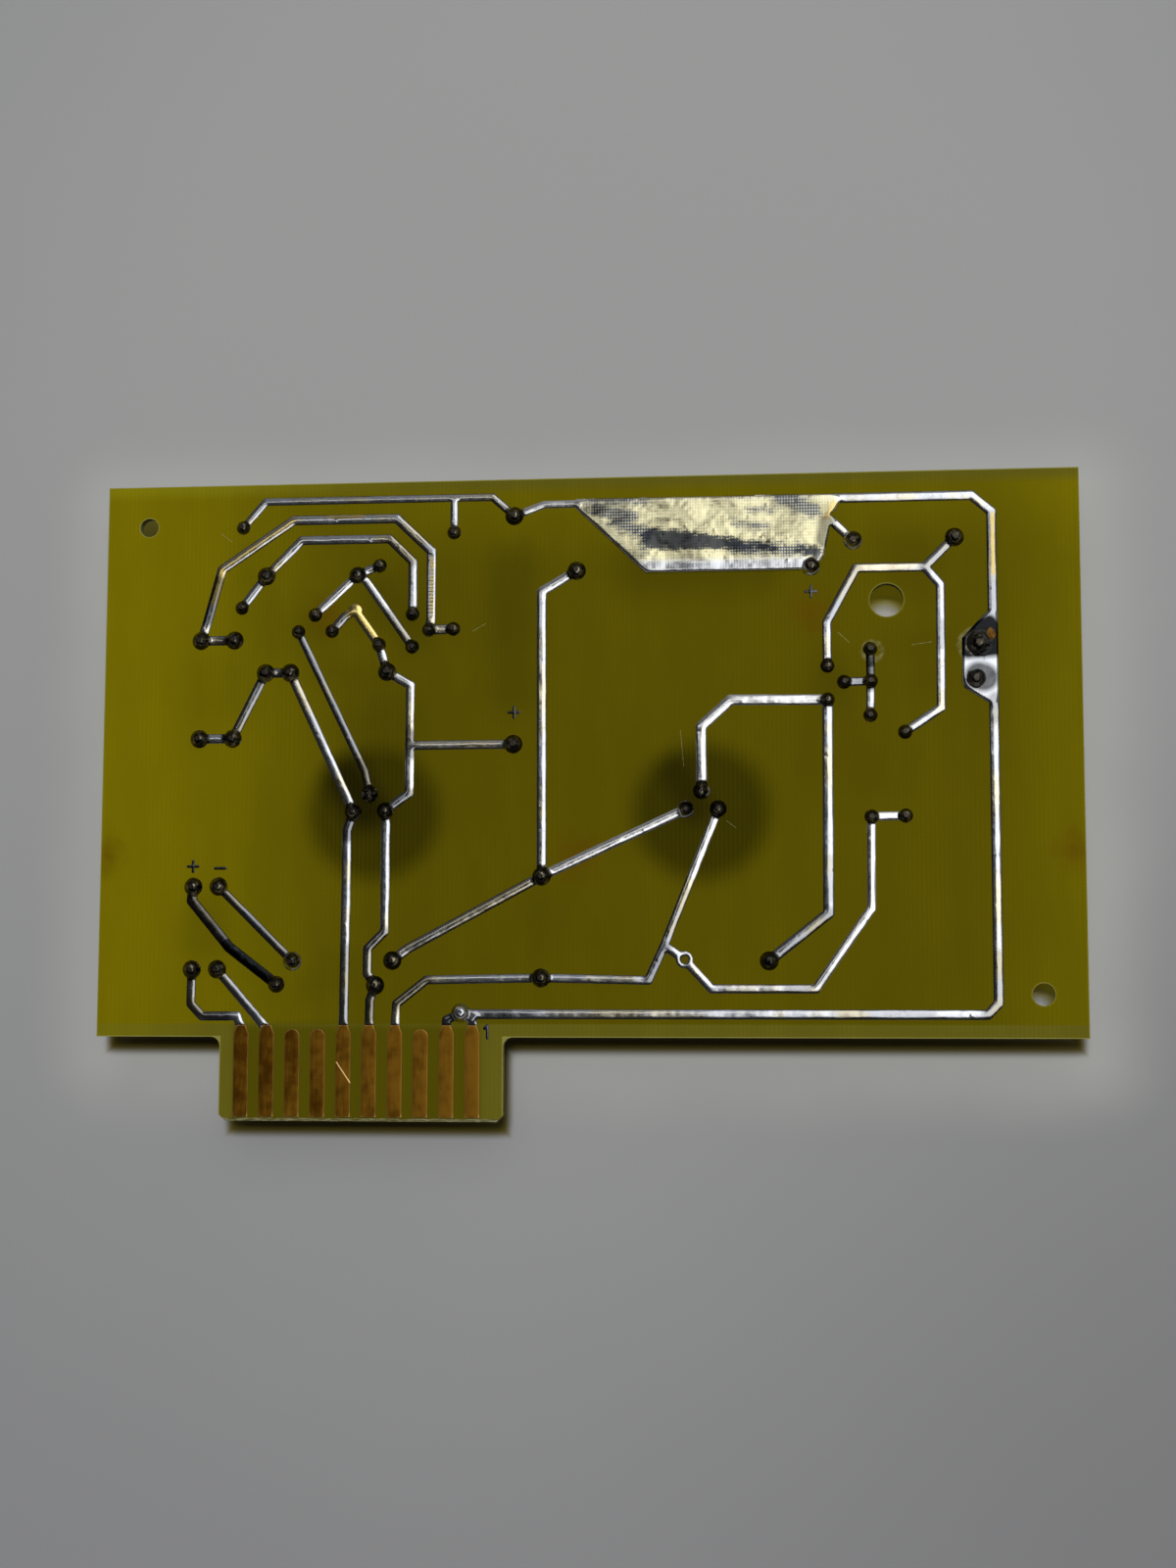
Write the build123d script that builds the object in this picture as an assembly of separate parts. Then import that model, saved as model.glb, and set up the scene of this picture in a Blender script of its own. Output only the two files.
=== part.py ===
from build123d import *
import math
import os

# A regulated power-supply card, lying on its components with the solder side up.
# Every plan position below is a board coordinate in millimetres: x from the left edge of the
# main board, y from its lower edge, where the card-edge tab starts. place() moves it to the
# model's own frame, which has its origin on the floor, under the middle of the outline.

# ---------------------------------------------------------------- driving dimensions (mm)
BOARD_WIDTH = 150.3
BOARD_DEPTH = 85.9
BOARD_THICKNESS = 1.57
STANDING_HEIGHT = 8.6            # from the floor to the component side of the laminate

TAB_LEFT = 19.35
TAB_RIGHT = 63.1
TAB_LENGTH = 12.7
TAB_INSIDE_RADIUS = 1.4
TAB_CORNER_CHAMFER = 1.0
TAB_LEAD_IN = 0.45               # bevel along the end of the tab, both faces

CONTACT_PITCH = 3.9624
CONTACT_COUNT = 10
CONTACT_WIDTH = 2.3
FIRST_CONTACT_X = 22.73
CONTACT_START_Y = -12.1
CONTACT_SHOULDER_Y = 0.5
CONTACT_NECK_WIDTH = 1.4
CONTACT_NECK_Y = 1.6
CONTACT_TOP_Y = 1.8              # where the solder coat of a connected finger starts
FREE_CONTACT_TOP_Y = 1.2
FREE_CONTACTS = (3, 4, 8)        # these fingers meet no track and have round tops
COPPER = 0.07                    # foil thickness
SOLDERED_TRACK = 0.22            # foil with its coat of solder

BOARD_HOLES = [(6.6, 79.4, 2.9), (121.3, 66.0, 5.1), (143.7, 6.5, 3.3)]    # x, y, diameter
LEAD_HOLE = 1.1
TEST_RING = (90.55, 11.7)        # an empty ring pad
TEST_RING_OUTER = 2.6
TEST_RING_HOLE = 1.25

AXIAL_WIRE = 0.7
TRANSISTOR_WIRE = 0.48
STUB_ABOVE_JOINT = 0.25
BEND_RADIUS = 0.9
SEAT_GAP = 0.35                  # between a component's body and the laminate

LARGE_PAD = 2.85
SMALL_PAD = 2.15
PIN_PAD = 2.6
LARGE_JOINT_HEIGHT = 1.0
SMALL_JOINT_HEIGHT = 0.8
JOINT_CROWN = 0.45               # radius of the flat top of a joint, round its lead

HALF_WATT = (9.5, 3.6)           # resistor body length and diameter
QUARTER_WATT = (6.4, 2.4)
CAPACITOR_LENGTH = 26.0
CAPACITOR_DIAMETER = 8.2
CAPACITOR_SEAL = 1.6

CAN_DIAMETER = 8.3
CAN_HEIGHT = 6.1
CAN_FLANGE_DIAMETER = 9.3
CAN_FLANGE_THICKNESS = 0.5
CAN_STANDOFF = 0.5
HEAT_SINK_DIAMETER = 19.0
HEAT_SINK_HUB = 10.6
HEAT_SINK_HEIGHT = 7.3
HEAT_SINK_FINS = 14
HEAT_SINK_FIN = 0.9

SMALL_BODY_DIAMETER = 4.8
SMALL_BODY_HEIGHT = 4.8
SMALL_BODY_FLAT = 1.25           # from the axis to the flat side
SMALL_BODY_DROP = 2.6            # from the laminate to the body
SMALL_LEAD_PITCH = 1.27

BRIDGE_WIDTH = 7.2
BRIDGE_LENGTH = 10.0
BRIDGE_HEIGHT = 5.0

TOP = STANDING_HEIGHT + BOARD_THICKNESS
PAD_TOP = TOP + SOLDERED_TRACK

# ---------------------------------------------------------------- pads: x, y, diameter
PADS = {
    # ground rail
    "A1": (21.7, 79.1, SMALL_PAD), "A2": (55.0, 77.7, SMALL_PAD), "A3": (64.4, 80.1, LARGE_PAD),
    "L1": (109.9, 71.4, LARGE_PAD), "M1": (116.3, 75.3, LARGE_PAD), "N1": (134.9, 59.2, 3.4),
    "N2": (134.5, 53.8, 3.0), "BB1": (56.6, 3.7, LARGE_PAD),
    # positive sense and reference
    "B1": (15.3, 61.3, LARGE_PAD), "B2": (20.6, 61.3, LARGE_PAD), "B3": (51.2, 62.5, SMALL_PAD),
    "B4": (55.0, 62.6, SMALL_PAD), "C1": (25.5, 71.35, LARGE_PAD), "C2": (21.7, 66.4, SMALL_PAD),
    "C3": (48.6, 65.0, SMALL_PAD),
    # driver and base of the positive side
    "D1": (33.3, 65.1, SMALL_PAD), "D2": (39.9, 71.3, PIN_PAD), "D3": (43.4, 72.7, SMALL_PAD),
    "D4": (48.6, 59.9, SMALL_PAD), "E1": (30.7, 62.5, SMALL_PAD), "E2": (42.2, 37.1, PIN_PAD),
    # positive supply
    "F1": (36.0, 62.55, SMALL_PAD), "F2": (39.6, 65.7, 2.2), "F3": (43.4, 60.3, SMALL_PAD),
    "F4": (44.7, 56.05, LARGE_PAD), "F5": (44.65, 34.5, PIN_PAD), "J1": (64.4, 44.6, LARGE_PAD),
    "Z1": (43.4, 7.85, LARGE_PAD),
    # positive output
    "H1": (15.3, 45.9, LARGE_PAD), "H2": (20.55, 45.9, LARGE_PAD), "G1": (25.6, 56.1, LARGE_PAD),
    "G2": (29.5, 56.1, LARGE_PAD), "G3": (39.7, 34.4, PIN_PAD),
    # negative supply
    "K1": (74.1, 71.35, LARGE_PAD), "K2": (68.85, 24.35, LARGE_PAD), "K3": (46.0, 11.6, LARGE_PAD),
    "K4": (90.75, 34.4, PIN_PAD),
    # negative sense, bias, base and output
    "P1": (131.6, 75.5, LARGE_PAD), "P2": (112.3, 56.05, SMALL_PAD), "P3": (123.85, 45.85, SMALL_PAD),
    "S1": (118.75, 58.55, SMALL_PAD), "S2": (118.8, 53.65, SMALL_PAD), "S3": (114.8, 53.55, SMALL_PAD),
    "S4": (118.7, 48.45, SMALL_PAD), "T1": (112.3, 50.9, SMALL_PAD), "T2": (103.25, 11.5, LARGE_PAD),
    "T3": (93.2, 37.2, PIN_PAD), "CC1": (68.8, 8.95, LARGE_PAD), "M3": (95.7, 34.45, PIN_PAD),
    "AA1": (118.7, 33.1, SMALL_PAD), "AA2": (123.8, 33.2, SMALL_PAD),
    # bridge rectifier and its tracks
    "U1": (14.8, 22.95, LARGE_PAD), "U2": (28.05, 8.0, PIN_PAD), "V1": (18.75, 23.0, LARGE_PAD),
    "V2": (30.5, 11.5, LARGE_PAD), "W1": (14.8, 10.25, LARGE_PAD), "X1": (18.75, 10.3, LARGE_PAD),
}
BARE_PADS = ("F2",)                      # a flat, undrilled pad
FILLED_PADS = ("D2", "BB1", "T2")        # drilled and filled with solder, with no lead


def contact_x(number):
    """Centre line of edge contact 1 to 10, from the left."""
    return FIRST_CONTACT_X + CONTACT_PITCH * (number - 1)


# ---------------------------------------------------------------- tracks
# Each track is a list of runs. A run is a width and the pads or corners that it goes through.
def finger(number):
    return (contact_x(number), CONTACT_TOP_Y - 0.6)


# Filled areas, as corner points, with the pads that they hold.
FOIL_AREA = [(73.9, 82.6), (115.2, 82.6), (114.3, 81.1), (113.8, 80.0), (112.9, 79.3), (112.6, 77.2),
             (111.7, 77.0), (110.9, 73.6), (108.4, 70.8), (84.7, 70.8), (73.9, 81.1)]
PAD_AREA = [(137.9, 66.0), (136.9, 64.6), (134.9, 62.6), (132.5, 60.0), (132.4, 53.4), (132.8, 52.4),
            (136.2, 50.2), (137.9, 49.0)]
AREAS = {"track_ground_rail": [(FOIL_AREA, ()), (PAD_AREA, ("N1", "N2"))]}
TRACKS = {
    "track_ground_rail": [
        (1.2, ["A1", (25.2, 83.15), (61.0, 83.15), "A3", (69.0, 81.8), (75.0, 81.85)]),
        (1.2, [(55.0, 83.15), "A2"]),
        (1.4, ["L1", (111.3, 73.2), (112.3, 78.2)]),
        (1.4, [(112.9, 78.6), "M1"]),
        (1.5, [(114.0, 81.85), (134.2, 81.9), (137.15, 79.3), (137.1, 5.2), (135.5, 3.5),
               (58.5, 3.5), "BB1"]),
        (1.4, ["BB1", (54.43, 2.6), finger(9)]),
        (1.4, ["BB1", (58.39, 2.6), finger(10)]),
    ],
    "track_positive_sense": [
        (1.5, ["B2", "B1", (16.3, 64.5), (18.4, 72.5), (29.7, 80.1), (46.0, 80.1), (51.5, 74.8),
               (51.5, 64.0), "B3", "B4"]),
    ],
    "track_positive_reference": [
        (1.4, ["C2", "C1", (31.0, 76.9), (44.9, 76.9), (48.6, 73.2), "C3"]),
    ],
    "track_positive_driver": [
        (1.35, ["D1", "D2", "D3"]),
        (1.35, ["D2", (41.3, 70.3), "D4"]),
    ],
    "track_positive_base": [
        (1.2, ["E1", (41.4, 40.6), "E2"]),
    ],
    "track_positive_supply": [
        (1.4, ["F1", (38.0, 64.8), "F2", "F3", "F4", (48.4, 53.9), (48.35, 37.2), "F5",
               (44.76, 32.5), (44.76, 16.0), (42.15, 13.4), (42.15, 9.6), "Z1", (42.6, 5.6), finger(6)]),
        (1.4, [(48.35, 44.56), "J1"]),
    ],
    "track_positive_output": [
        (1.45, ["H1", "H2", "G1", "G2", "G3", (38.75, 31.5), finger(5)]),
    ],
    "track_negative_supply": [
        (1.5, ["K1", (68.7, 68.2), "K2", "K4"]),
        (1.5, ["K2", (48.4, 13.4), "K3"]),
    ],
    "track_negative_sense": [
        (1.4, ["P1", (127.1, 71.0), (116.75, 71.0), (112.26, 62.75), "P2"]),
        (1.4, [(127.1, 71.0), (129.4, 68.2), (129.3, 49.5), "P3"]),
    ],
    "track_negative_bias": [
        (1.3, ["S1", "S2", "S4"]),
        (1.3, ["S3", "S2"]),
    ],
    "track_negative_base": [
        (1.65, ["T3", (93.15, 47.0), (97.6, 51.0), "T1", (112.2, 18.6), "T2"]),
    ],
    "track_negative_output": [
        (1.35, [finger(7), (46.7, 5.0), (51.3, 8.65), "CC1", (85.1, 8.6), (87.5, 13.8), "M3"]),
        (1.35, [(87.5, 13.8), TEST_RING, (94.6, 7.3), (110.2, 7.3), (118.55, 19.3), "AA1", "AA2"]),
    ],
    "track_bridge_positive": [
        (1.65, ["U1", (14.6, 20.8), (20.6, 13.65), "U2"]),
    ],
    "track_bridge_negative": [
        (1.3, ["V1", "V2"]),
    ],
    "track_supply_input_1": [
        (1.4, ["W1", (14.75, 5.0), (16.5, 3.15), (22.0, 3.15), finger(1)]),
    ],
    "track_supply_input_2": [
        (1.4, ["X1", finger(2)]),
    ],
}

# ---------------------------------------------------------------- components
# The two pads of each axial part, and its body. A transistor's middle pin is named second.
RESISTORS = {
    "resistor_01": ("A1", "C2", QUARTER_WATT), "resistor_02": ("B1", "H1", HALF_WATT),
    "resistor_03": ("B2", "H2", HALF_WATT), "resistor_04": ("C1", "G1", HALF_WATT),
    "resistor_05": ("G2", "F4", HALF_WATT), "resistor_06": ("D3", "F3", QUARTER_WATT),
    "resistor_07": ("A2", "B4", QUARTER_WATT), "resistor_08": ("M1", "P1", HALF_WATT),
    "resistor_09": ("S1", "N1", HALF_WATT), "resistor_10": ("S2", "N2", QUARTER_WATT),
    "resistor_11": ("S4", "AA1", QUARTER_WATT), "resistor_12": ("P3", "AA2", QUARTER_WATT),
    "resistor_13": ("K2", "CC1", HALF_WATT), "resistor_14": ("U2", "Z1", QUARTER_WATT),
    "resistor_15": ("V2", "K3", QUARTER_WATT),
}
CAPACITORS = {"capacitor_1": ("A3", "J1"), "capacitor_2": ("K1", "L1")}    # minus pad, plus pad
POWER_TRANSISTORS = {"power_transistor_1": ("G3", "E2", "F5"), "power_transistor_2": ("K4", "T3", "M3")}
SMALL_TRANSISTORS = {"small_transistor_1": ("E1", "D1", "F1"), "small_transistor_2": ("C3", "B3", "D4"),
                     "small_transistor_3": ("P2", "S3", "T1")}
BRIDGE_PADS = ("U1", "V1", "W1", "X1")


def place(x, y, z=0.0):
    """A board coordinate in the model's frame."""
    return Vector(x - BOARD_WIDTH / 2, y - (BOARD_DEPTH - TAB_LENGTH) / 2, z)


def pad_point(name, z=0.0):
    x, y, _ = PADS[name]
    return place(x, y, z)


def route_point(entry):
    """A pad's name or a plain corner, as a point of the model's frame."""
    return pad_point(entry) if isinstance(entry, str) else place(*entry)


def wire_diameter(pad):
    for pins in list(POWER_TRANSISTORS.values()) + list(SMALL_TRANSISTORS.values()):
        if pad in pins:
            return TRANSISTOR_WIRE
    return AXIAL_WIRE


def disc(point, diameter, bottom, height):
    return Pos(point.X, point.Y, bottom) * extrude(Circle(diameter / 2), height)


# ---------------------------------------------------------------- laminate
def laminate_board():
    corners = [(0, 0), (TAB_LEFT, 0), (TAB_LEFT, -TAB_LENGTH), (TAB_RIGHT, -TAB_LENGTH), (TAB_RIGHT, 0),
               (BOARD_WIDTH, 0), (BOARD_WIDTH, BOARD_DEPTH), (0, BOARD_DEPTH)]
    outline = make_face(Polyline([place(*corner) for corner in corners], close=True))
    roots = [place(TAB_LEFT, 0), place(TAB_RIGHT, 0)]
    tips = [place(TAB_LEFT, -TAB_LENGTH), place(TAB_RIGHT, -TAB_LENGTH)]

    def vertices_at(points):
        return [v for v in outline.vertices() if any((Vector(v) - p).length < 0.01 for p in points)]

    outline = fillet(vertices_at(roots), TAB_INSIDE_RADIUS)
    outline = chamfer(vertices_at(tips), TAB_CORNER_CHAMFER)
    plate = Pos(0, 0, STANDING_HEIGHT) * extrude(outline, BOARD_THICKNESS)
    tab_end = place(0, -TAB_LENGTH).Y
    end_edges = [e for e in plate.edges().filter_by(Axis.X) if abs(e.center().Y - tab_end) < 0.01]
    plate = chamfer(end_edges, TAB_LEAD_IN)
    holes = [(place(x, y), size) for x, y, size in BOARD_HOLES]
    holes += [(pad_point(name), LEAD_HOLE) for name in PADS if name not in BARE_PADS]
    holes.append((place(*TEST_RING), TEST_RING_HOLE))
    return plate - [disc(point, size, STANDING_HEIGHT, BOARD_THICKNESS) for point, size in holes]


# ---------------------------------------------------------------- copper and solder
def contact_outline(number):
    """A straight finger with a round top, or one that narrows to meet its track."""
    middle = contact_x(number)
    half = CONTACT_WIDTH / 2
    if number in FREE_CONTACTS:
        top = place(middle, FREE_CONTACT_TOP_Y - half)
        length = FREE_CONTACT_TOP_Y - half - CONTACT_START_Y
        shaft = Pos(top.X, top.Y - length / 2) * Rectangle(CONTACT_WIDTH, length)
        return shaft + Pos(top.X, top.Y) * Circle(half)
    neck = CONTACT_NECK_WIDTH / 2
    right = [(half, CONTACT_START_Y), (half, CONTACT_SHOULDER_Y), (neck, CONTACT_NECK_Y), (neck, CONTACT_TOP_Y)]
    left = [(-x, y) for x, y in reversed(right)]
    return make_face(Polyline([place(middle + x, y) for x, y in right + left], close=True))


def edge_contacts():
    return [Pos(0, 0, TOP) * extrude(contact_outline(number), COPPER)
            for number in range(1, CONTACT_COUNT + 1)]


def run_outline(width, route):
    """A track of constant width with round ends and corners."""
    points = [route_point(entry) for entry in route]
    outline = Sketch()
    for start, end in zip(points, points[1:]):
        along = end - start
        middle = (start + end) / 2
        angle = math.degrees(math.atan2(along.Y, along.X))
        outline += Pos(middle.X, middle.Y) * Rot(0, 0, angle) * SlotCenterToCenter(along.length, width)
    return outline


def pads_of(name):
    """The pads that a track joins, in order of name."""
    pads = {entry for _, route in TRACKS[name] for entry in route if isinstance(entry, str)}
    for _, held in AREAS.get(name, []):
        pads.update(held)
    return sorted(pads)


def lead_passages(pads):
    """Cylinders as thick as the leads, cut from the solder round them."""
    height = SOLDERED_TRACK + LARGE_JOINT_HEIGHT
    leaded = [pad for pad in pads if pad not in BARE_PADS + FILLED_PADS]
    return [disc(pad_point(pad), wire_diameter(pad), TOP, height) for pad in leaded]


def track(name):
    """One net: its runs, pads and areas, less the bare fingers and the leads."""
    outline = Sketch()
    for width, route in TRACKS[name]:
        outline += run_outline(width, route)
    for corners, _ in AREAS.get(name, []):
        outline += make_face(Polyline([place(*corner) for corner in corners], close=True))
    for pad in pads_of(name):
        point = pad_point(pad)
        outline += Pos(point.X, point.Y) * Circle(PADS[pad][2] / 2)
    if any(TEST_RING in route for _, route in TRACKS[name]):
        ring = place(*TEST_RING)
        outline += Pos(ring.X, ring.Y) * Circle(TEST_RING_OUTER / 2)
        outline -= Pos(ring.X, ring.Y) * Circle(TEST_RING_HOLE / 2)
    for number in range(1, CONTACT_COUNT + 1):
        if number not in FREE_CONTACTS:
            outline -= contact_outline(number)
    solid = Pos(0, 0, TOP) * extrude(outline, SOLDERED_TRACK)
    return solid - lead_passages(pads_of(name))


def mark_strokes(strokes, width=0.45):
    """A raised etched sign drawn with straight strokes."""
    outline = Sketch()
    for start, end in strokes:
        outline += run_outline(width, [start, end])
    return Pos(0, 0, TOP) * extrude(outline, COPPER)


def polarity_marks():
    half = 0.8
    plus_places = [(64.5, 49.5), (109.9, 67.5), (14.7, 26.1)]
    marks = [mark_strokes([((x - half, y), (x + half, y)), ((x, y - half), (x, y + half))])
             for x, y in plus_places]
    marks.append(mark_strokes([((18.2, 25.8), (19.8, 25.8))]))
    marks.append(mark_strokes([((60.7, -0.1), (60.7, 1.8)), ((60.7, 1.8), (60.25, 1.35))]))
    return marks


def joint_height(pad):
    return LARGE_JOINT_HEIGHT if PADS[pad][2] >= PIN_PAD else SMALL_JOINT_HEIGHT


def stub_top(pad):
    return PAD_TOP + joint_height(pad) + STUB_ABOVE_JOINT


def solder_joint(pad):
    """A bell of solder on a pad, with a hole where a lead runs through it."""
    base = PADS[pad][2] / 2 - 0.05
    height = joint_height(pad)
    inner = 0.0 if pad in FILLED_PADS else wire_diameter(pad) / 2
    profile = make_face(Polyline((inner, 0), (base, 0), (base * 0.72, height * 0.45),
                                 (JOINT_CROWN + 0.12, height * 0.85), (JOINT_CROWN, height),
                                 (inner, height), close=True))
    point = pad_point(pad, PAD_TOP)
    return Pos(point.X, point.Y, point.Z) * revolve(Plane.XZ * profile, Axis.Z)


# ---------------------------------------------------------------- component leads and bodies
def wire(points, diameter, radius=BEND_RADIUS):
    path = FilletPolyline(points, radius=radius) if len(points) > 2 else Line(points[0], points[1])
    start = Plane(origin=path @ 0, z_dir=path % 0)
    return sweep(start * Circle(diameter / 2), path)


def axial_leads(first, second, length, axis_z):
    """The two bent leads of an axial part."""
    ends = [pad_point(first), pad_point(second)]
    middle = (ends[0] + ends[1]) / 2
    leads = []
    for pad, end in zip((first, second), ends):
        outwards = (end - middle).normalized()
        start = middle + outwards * (length / 2)
        leads.append(wire([Vector(start.X, start.Y, axis_z), Vector(end.X, end.Y, axis_z),
                           Vector(end.X, end.Y, stub_top(pad))], AXIAL_WIRE))
    return leads


def lying_body(profile, first, second, axis_z):
    """A turned body: its profile's x is the distance from the middle, its y the radius."""
    ends = [pad_point(first), pad_point(second)]
    middle = (ends[0] + ends[1]) / 2
    turned = revolve(make_face(Polyline(profile, close=True)), Axis.X)
    along = ends[1] - ends[0]
    angle = math.degrees(math.atan2(along.Y, along.X))
    return Pos(middle.X, middle.Y, axis_z) * Rot(0, 0, angle) * turned


def resistor_axis(body):
    return STANDING_HEIGHT - SEAT_GAP - body[1] / 2


def resistor_body(first, second, body):
    length, diameter = body
    half = length / 2
    radius = diameter / 2
    edge = 0.12 * diameter
    profile = [(-half, 0), (-half, radius - edge), (-half + edge, radius), (half - edge, radius),
               (half, radius - edge), (half, 0)]
    return lying_body(profile, first, second, resistor_axis(body))


def capacitor_axis():
    return CAPACITOR_DIAMETER / 2


def capacitor_can(minus, plus):
    """The sleeved can, rolled in over the end seal at its plus end."""
    half = CAPACITOR_LENGTH / 2
    radius = CAPACITOR_DIAMETER / 2
    lip = radius - 0.7
    groove = half - 3.0
    profile = [(-half, 0), (-half, radius - 0.5), (-half + 0.5, radius), (groove - 0.6, radius),
               (groove, radius - 0.5), (groove + 0.6, radius), (half - 0.4, radius), (half, radius - 0.4),
               (half, lip), (half - CAPACITOR_SEAL, lip), (half - CAPACITOR_SEAL, 0)]
    return lying_body(profile, minus, plus, capacitor_axis())


def capacitor_seal(minus, plus):
    """The rubber disc in the open end, round the plus lead."""
    half = CAPACITOR_LENGTH / 2
    lip = CAPACITOR_DIAMETER / 2 - 0.7
    hole = AXIAL_WIRE / 2
    profile = [(half - CAPACITOR_SEAL, hole), (half - CAPACITOR_SEAL, lip), (half - 0.3, lip),
               (half - 0.3, hole)]
    return lying_body(profile, minus, plus, capacitor_axis())


def capacitor_leads(minus, plus):
    leads = axial_leads(minus, plus, CAPACITOR_LENGTH, capacitor_axis())
    ends = [pad_point(minus), pad_point(plus)]
    middle = (ends[0] + ends[1]) / 2
    outwards = (ends[1] - middle).normalized()
    inner = middle + outwards * (CAPACITOR_LENGTH / 2 - CAPACITOR_SEAL)
    start = Vector(inner.X, inner.Y, capacitor_axis())
    corner = Vector(ends[1].X, ends[1].Y, capacitor_axis())
    leads[1] = wire([start, corner, Vector(ends[1].X, ends[1].Y, stub_top(plus))], AXIAL_WIRE)
    return leads


def pin_centre(pins):
    """Centre of a transistor whose outer two pins face each other across it."""
    return (pad_point(pins[0]) + pad_point(pins[2])) / 2


def power_can(pins):
    centre = pin_centre(pins)
    seat = STANDING_HEIGHT - CAN_STANDOFF
    flange = disc(centre, CAN_FLANGE_DIAMETER, seat - CAN_FLANGE_THICKNESS, CAN_FLANGE_THICKNESS)
    can = disc(centre, CAN_DIAMETER, seat - CAN_FLANGE_THICKNESS - CAN_HEIGHT, CAN_HEIGHT)
    can = fillet(can.edges().group_by(Axis.Z)[0], 0.6)
    return flange + can


def power_leads(pins):
    seat = STANDING_HEIGHT - CAN_STANDOFF
    return [disc(pad_point(pin), TRANSISTOR_WIRE, seat, stub_top(pin) - seat) for pin in pins]


def heat_sink(pins):
    """A push-on cooler: a hub that grips the can, with radial fins, as tall as the part stands."""
    centre = pin_centre(pins)
    hub = Circle(HEAT_SINK_HUB / 2)
    reach = (HEAT_SINK_DIAMETER - HEAT_SINK_HUB) / 2 + 0.4
    middle = HEAT_SINK_DIAMETER / 2 - reach / 2
    fins = PolarLocations(0, HEAT_SINK_FINS) * (Pos(middle, 0) * Rectangle(reach, HEAT_SINK_FIN))
    outline = (hub + fins) & Circle(HEAT_SINK_DIAMETER / 2)
    outline -= Circle(CAN_DIAMETER / 2)
    return Pos(centre.X, centre.Y, 0) * extrude(outline, HEAT_SINK_HEIGHT)


def pin_direction(pins):
    """From the first pin to the third; the middle pin lies to the left of it."""
    return (pad_point(pins[2]) - pad_point(pins[0])).normalized()


def small_body(pins):
    """A moulded plastic body with one flat side, away from the middle pin."""
    centre = pin_centre(pins)
    along = pin_direction(pins)
    turn = math.degrees(math.atan2(along.Y, along.X))
    bottom = STANDING_HEIGHT - SMALL_BODY_DROP - SMALL_BODY_HEIGHT
    radius = SMALL_BODY_DIAMETER / 2
    round_side = Pos(0, radius - SMALL_BODY_FLAT) * Rectangle(SMALL_BODY_DIAMETER, SMALL_BODY_DIAMETER)
    outline = Circle(radius) & round_side
    body = Pos(centre.X, centre.Y, bottom) * Rot(0, 0, turn) * extrude(outline, SMALL_BODY_HEIGHT)
    return fillet(body.edges().group_by(Axis.Z)[0], 0.2)


def small_leads(pins):
    """Three leads that leave the body in a row and spread to the three pads."""
    centre = pin_centre(pins)
    along = pin_direction(pins)
    seat = STANDING_HEIGHT - SMALL_BODY_DROP
    leads = []
    for place_in_row, pin in enumerate(pins, start=-1):
        foot = centre + along * (SMALL_LEAD_PITCH * place_in_row)
        end = pad_point(pin)
        leads.append(wire([Vector(foot.X, foot.Y, seat), Vector(foot.X, foot.Y, seat + 0.6),
                           Vector(end.X, end.Y, STANDING_HEIGHT - 0.5),
                           Vector(end.X, end.Y, stub_top(pin))], TRANSISTOR_WIRE, radius=0.35))
    return leads


def bridge_centre():
    points = [pad_point(pad) for pad in BRIDGE_PADS]
    return Vector(sum(p.X for p in points) / 4, sum(p.Y for p in points) / 4, 0)


def bridge_body():
    """A potted block with one corner cut back beside its plus lead."""
    centre = bridge_centre()
    bottom = STANDING_HEIGHT - SEAT_GAP - BRIDGE_HEIGHT
    block = Pos(centre.X, centre.Y, bottom) * extrude(Rectangle(BRIDGE_WIDTH, BRIDGE_LENGTH), BRIDGE_HEIGHT)
    uprights = block.edges().filter_by(Axis.Z)
    plus_corner = min(uprights, key=lambda e: e.center().X - e.center().Y)
    block = chamfer(plus_corner, 1.4)
    return fillet(block.edges().group_by(Axis.Z)[0], 0.4)


def bridge_leads():
    centre = bridge_centre()
    axis_z = STANDING_HEIGHT - SEAT_GAP - BRIDGE_HEIGHT / 2
    leads = []
    for pad in BRIDGE_PADS:
        end = pad_point(pad)
        side = math.copysign(BRIDGE_LENGTH / 2, end.Y - centre.Y)
        leads.append(wire([Vector(end.X, centre.Y + side, axis_z), Vector(end.X, end.Y, axis_z),
                           Vector(end.X, end.Y, stub_top(pad))], AXIAL_WIRE, radius=0.6))
    return leads


# ---------------------------------------------------------------- assembly
def leads_by_node():
    nodes = {"resistor_leads": []}
    for first, second, body in RESISTORS.values():
        nodes["resistor_leads"] += axial_leads(first, second, body[0], resistor_axis(body))
    for name, (minus, plus) in CAPACITORS.items():
        nodes[name + "_leads"] = capacitor_leads(minus, plus)
    for name, pins in POWER_TRANSISTORS.items():
        nodes[name + "_leads"] = power_leads(pins)
    for name, pins in SMALL_TRANSISTORS.items():
        nodes[name + "_leads"] = small_leads(pins)
    nodes["bridge_leads"] = bridge_leads()
    return nodes


def build():
    nodes = {"laminate_board": [laminate_board()], "edge_contacts": edge_contacts(),
             "polarity_marks": polarity_marks()}
    nodes.update({name: [track(name)] for name in TRACKS})
    nodes["solder_joints"] = [solder_joint(pad) for pad in PADS if pad not in BARE_PADS]
    for name, (first, second, body) in RESISTORS.items():
        nodes[name] = [resistor_body(first, second, body)]
    for name, (minus, plus) in CAPACITORS.items():
        nodes[name + "_can"] = [capacitor_can(minus, plus)]
        nodes[name + "_seal"] = [capacitor_seal(minus, plus)]
    for name, pins in POWER_TRANSISTORS.items():
        nodes[name + "_can"] = [power_can(pins)]
        nodes[name.replace("power_transistor", "heat_sink")] = [heat_sink(pins)]
    for name, pins in SMALL_TRANSISTORS.items():
        nodes[name + "_body"] = [small_body(pins)]
    nodes["bridge_rectifier"] = [bridge_body()]
    nodes.update(leads_by_node())
    return nodes


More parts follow.
